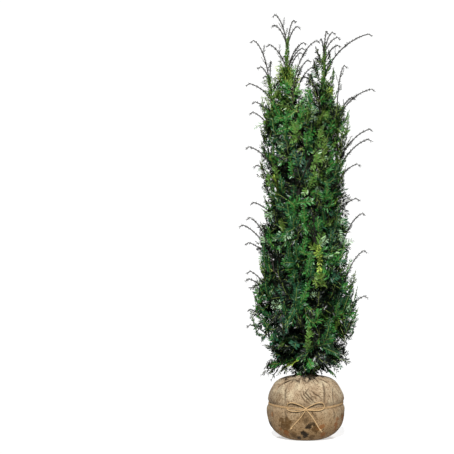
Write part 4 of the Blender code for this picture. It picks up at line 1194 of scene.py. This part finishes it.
# Three-sided twigs along the shoots, as thick as each shoot's girth
tree, given = new_tree("twig_wood", Sides="Int", Finish="Material")
lines = add_node(tree, "GeometryNodeMeshToCurve", {"Mesh": given["Lines"]})
outline = add_node(tree, "GeometryNodeCurvePrimitiveCircle", {"Resolution": given["Sides"], "Radius": 1.0})
girth = add_node(tree, "GeometryNodeInputNamedAttribute", {"Name": "girth"}, data_type="FLOAT")
tubes = add_node(tree, "GeometryNodeCurveToMesh",
                 {"Curve": lines, "Profile Curve": outline, "Scale": girth, "Fill Caps": True})
end_tree(tree, tubes, given["Finish"])

# Young yew wood is smooth, a little waxy and green for its first years; older twigs turn dull red-brown, but
# are drawn dark olive brown with painted shade, as most lie deep in the crown.
# Each kind has its piece, its finish, its colour and its roughness.
for name, wood, finish, shade, roughness in (
    ("twigs_old", "old", "old_yew_wood", "#38301f", 0.80),
    ("twigs_young", "young", "young_yew_wood", "#77893f", 0.55),
    ("shoots_long", "ripening", "ripening_yew_wood", "#221c16", 0.65),
):
    finish = new_material(finish, shade, roughness)[0]
    piece = line_piece(name, [sprig for sprig in sprigs if sprig.wood == wood])
    bake(piece, tree, {"Sides": 3, "Finish": finish})
    dress(piece, finish, "yew_bark", mass_names)


# Needles
# Flat, pointed blades about 18 mm long, set in two ranks on side shoots and all round upright leaders.
# They are opaque and waxy, with one green to a shoot, and a little larger and wider apart than in life.

NEEDLE_WIDTH, NEEDLE_PAIRS = 0.24, 8
NEEDLE_SPACING, BRONZE_SPACING = 0.0060, 0.0045
NEEDLE_SWAY, NEEDLE_SPREAD, LEAST_NEEDLE = Vector((0.22, 0.40, 0.22)), (0.78, 1.15), 0.003
PAIR_TRIANGLES, PIECE_LIMIT = 8, 190000

# Each green: its colour, and the record's finish that it belongs to
NEEDLE_GREENS = {
    # The shade green is painted shade, near black
    "shade": ("#061207", "yew_needles_deep"),
    "blue": ("#264e37", "yew_needles_deep"),
    "deep": ("#1d4a26", "yew_needles_deep"),
    "leaf": ("#336f2e", "yew_needles"),
    "olive": ("#55722a", "yew_needles"),
    "fresh": ("#567f35", "yew_needles_young"),
    "spring": ("#95ad46", "yew_needles_young"),
    "bronze": ("#1c2317", "yew_needles_young"),
    # The pale green is partly the needles' pale undersides and partly painted highlight
    "pale": ("#7d9a77", "yew_needles"),
}


def needle_pair(draw):
    """Two needles of length 1 on either side of a shoot along Y, tilted a little unlike each other."""
    points, faces = [], []
    for hand in (1, -1):
        angle = radians(draw.uniform(48, 66))
        way = Vector((hand * sin(angle), cos(angle), draw.uniform(-0.05, 0.22))).normalized()
        tilt = draw.uniform(-0.8, 0.8)
        broad = way.cross(UP).normalized()
        broad = (broad * cos(tilt) + UP * sin(tilt)).normalized() * NEEDLE_WIDTH
        start, curl = Vector((0, 0.10 * hand, 0)), Vector((0, 0.10, -0.10))
        rows = [(0, 2, 1), (1, 2, 4, 3), (3, 4, 5)]
        faces += [tuple(len(points) + k for k in (row if hand > 0 else row[::-1])) for row in rows]
        points.append(start)
        for share, half in ((0.30, 0.45), (0.74, 0.50)):
            middle = start + way * share + curl * share * share
            points += [middle + broad * half, middle - broad * half]
        points.append(start + way + curl)
    return new_mesh("needle_pair", points, [], faces)


draw = random.Random("needle pairs")
pair_kinds = bpy.data.collections.new("needle_pairs")
for k in range(NEEDLE_PAIRS):
    pair_kinds.objects.link(bpy.data.objects.new(f"needle_pair_{k}", needle_pair(draw)))

# The tree sets pairs along the shoots: Y along the shoot, Z to its upper side, turned on round a leader
tree, given = new_tree("needles_on_shoots", Spacing="Float", Seed="Int", Finish="Material")
held = {
    name: add_node(tree, "GeometryNodeInputNamedAttribute", {"Name": name}, data_type=kind)
    for name, kind in (("needle", "FLOAT"), ("ring", "FLOAT"), ("face_way", "FLOAT_VECTOR"))
}
lines = add_node(tree, "GeometryNodeMeshToCurve", {"Mesh": given["Lines"]})
spots = add_node(tree, "GeometryNodeResampleCurve", {"Curve": lines, "Length": given["Spacing"]},
                 mode="LENGTH")
pairs = add_node(tree, "GeometryNodeCollectionInfo",
                 {"Collection": pair_kinds, "Separate Children": True, "Reset Children": True})
kind, sway, spread = [
    add_node(tree, "FunctionNodeRandomValue", {**limits, "Seed": given["Seed"]}, data_type=data_type)
    for data_type, limits in (
        ("INT", {5: NEEDLE_PAIRS - 1}), ("FLOAT_VECTOR", {0: -NEEDLE_SWAY, 1: NEEDLE_SWAY}),
        ("FLOAT", {2: NEEDLE_SPREAD[0], 3: NEEDLE_SPREAD[1]}),
    )
]
along = add_node(tree, "GeometryNodeInputTangent")
aimed = add_node(tree, "FunctionNodeAxesToRotation",
                 {"Primary Axis": along, "Secondary Axis": held["face_way"]},
                 primary_axis="Y", secondary_axis="Z")
number = add_node(tree, "GeometryNodeInputIndex")
step = add_node(tree, "ShaderNodeMath", {0: number, 1: GOLDEN_ANGLE}, operation="MULTIPLY")
roll = add_node(tree, "ShaderNodeMath", {0: step, 1: held["ring"]}, operation="MULTIPLY")
turned = add_node(tree, "FunctionNodeAxisAngleToRotation", {"Axis": (0, 1, 0), "Angle": roll})
swayed = add_node(tree, "FunctionNodeEulerToRotation", {"Euler": sway})
for more in (turned, swayed):
    aimed = add_node(tree, "FunctionNodeRotateRotation", {"Rotation": aimed, "Rotate By": more},
                     rotation_space="LOCAL")
size = add_node(tree, "ShaderNodeMath", {0: spread.outputs[1], 1: held["needle"]}, operation="MULTIPLY")
borne = add_node(tree, "FunctionNodeCompare", {0: held["needle"], 1: LEAST_NEEDLE}, operation="GREATER_THAN")
placed = add_node(tree, "GeometryNodeInstanceOnPoints", {
    "Points": spots, "Selection": borne, "Instance": pairs, "Pick Instance": True,
    "Instance Index": kind.outputs[2], "Rotation": aimed, "Scale": size,
})
end_tree(tree, placed, given["Finish"])

for seed, (tint, (green, slot)) in enumerate(NEEDLE_GREENS.items()):
    # The waxy skin of yew needles: smooth and half glossy, so that blades turned to the light shine
    finish, _, inputs = new_material("yew_needle_" + tint, green, 0.42)
    inputs["IOR"].default_value = 1.45
    chosen = [sprig for sprig in sprigs if sprig.tint == tint]
    spacing = BRONZE_SPACING if tint == "bronze" else NEEDLE_SPACING
    length = sum(length_of(sprig.path) for sprig in chosen)
    parts = ceil(length / spacing * PAIR_TRIANGLES / PIECE_LIMIT)
    for part in range(parts):
        piece = line_piece(f"needles_{tint}_{part + 1}", chosen[part::parts])
        bake(piece, tree, {"Spacing": spacing, "Seed": 10 * seed + part, "Finish": finish})
        dress(piece, finish, slot, mass_names)
for item in list(pair_kinds.objects):
    bpy.data.objects.remove(item, do_unlink=True)


# Floor, light and camera
# A seamless white floor under large soft lights, as in a nursery's product picture.
# The floor is a round board of white opal plastic under the ball.

BOARD_RADIUS, BOARD_SIDES = 0.36, 64
LIGHT_ROUND, BACKGROUND = 0.09, 1.05

# Each light: its name, its strength, how soft it is, its tilt and its turn in degrees
LIGHTS = (("key_light", 6.4, 5, 56, -4), ("back_light", 3.0, 16, 58, 172), ("side_light", 0.9, 30, 64, 80))

# White opal plastic, smooth and dull, lit a little from below so that shadows stay pale
floor_finish, _, inputs = new_material("white_light_table", "#b4b4b4", 0.9)
inputs["Emission Color"].default_value = (1, 1, 1, 1)
inputs["Emission Strength"].default_value = 0.5
rim = [outward(tau * k / BOARD_SIDES) * BOARD_RADIUS for k in range(BOARD_SIDES)]
floor = new_object("floor", new_mesh("floor", rim, [], [tuple(range(BOARD_SIDES))]))
floor.data.materials.append(floor_finish)

world = bpy.data.worlds.new("studio")
world.use_nodes = True
tree = world.node_tree
sky = tree.nodes["Background"].inputs
sky["Color"].default_value = (1, 1, 1, 1)
seen = add_node(tree, "ShaderNodeLightPath").outputs["Is Camera Ray"]
add_node(tree, "ShaderNodeMapRange", {"Value": seen, "To Min": LIGHT_ROUND, "To Max": BACKGROUND},
         to=sky["Strength"])
bpy.context.scene.world = world

for name, power, softness, tilt, turn in LIGHTS:
    sun = bpy.data.lights.new(name, "SUN")
    sun.energy = power
    sun.angle = radians(softness)
    new_object(name, sun).rotation_euler = (radians(tilt), 0, radians(turn))

# A long lens from straight in front, at half the plant's height, which stands right of the frame's middle
CAMERA_DISTANCE, CAMERA_HEIGHT = 6.0, 0.937
FRAME_WIDTH, SHIFT, SENSOR = 2.02, -0.174, 36
lens = bpy.data.cameras.new("camera")
lens.sensor_width = SENSOR
lens.lens = SENSOR * CAMERA_DISTANCE / FRAME_WIDTH
lens.shift_x = SHIFT
camera = new_object("camera", lens)
camera.location = (0, -CAMERA_DISTANCE, CAMERA_HEIGHT)
camera.rotation_euler = (pi / 2, 0, 0)
bpy.context.scene.camera = camera
bpy.context.scene.view_settings.view_transform = "Standard"
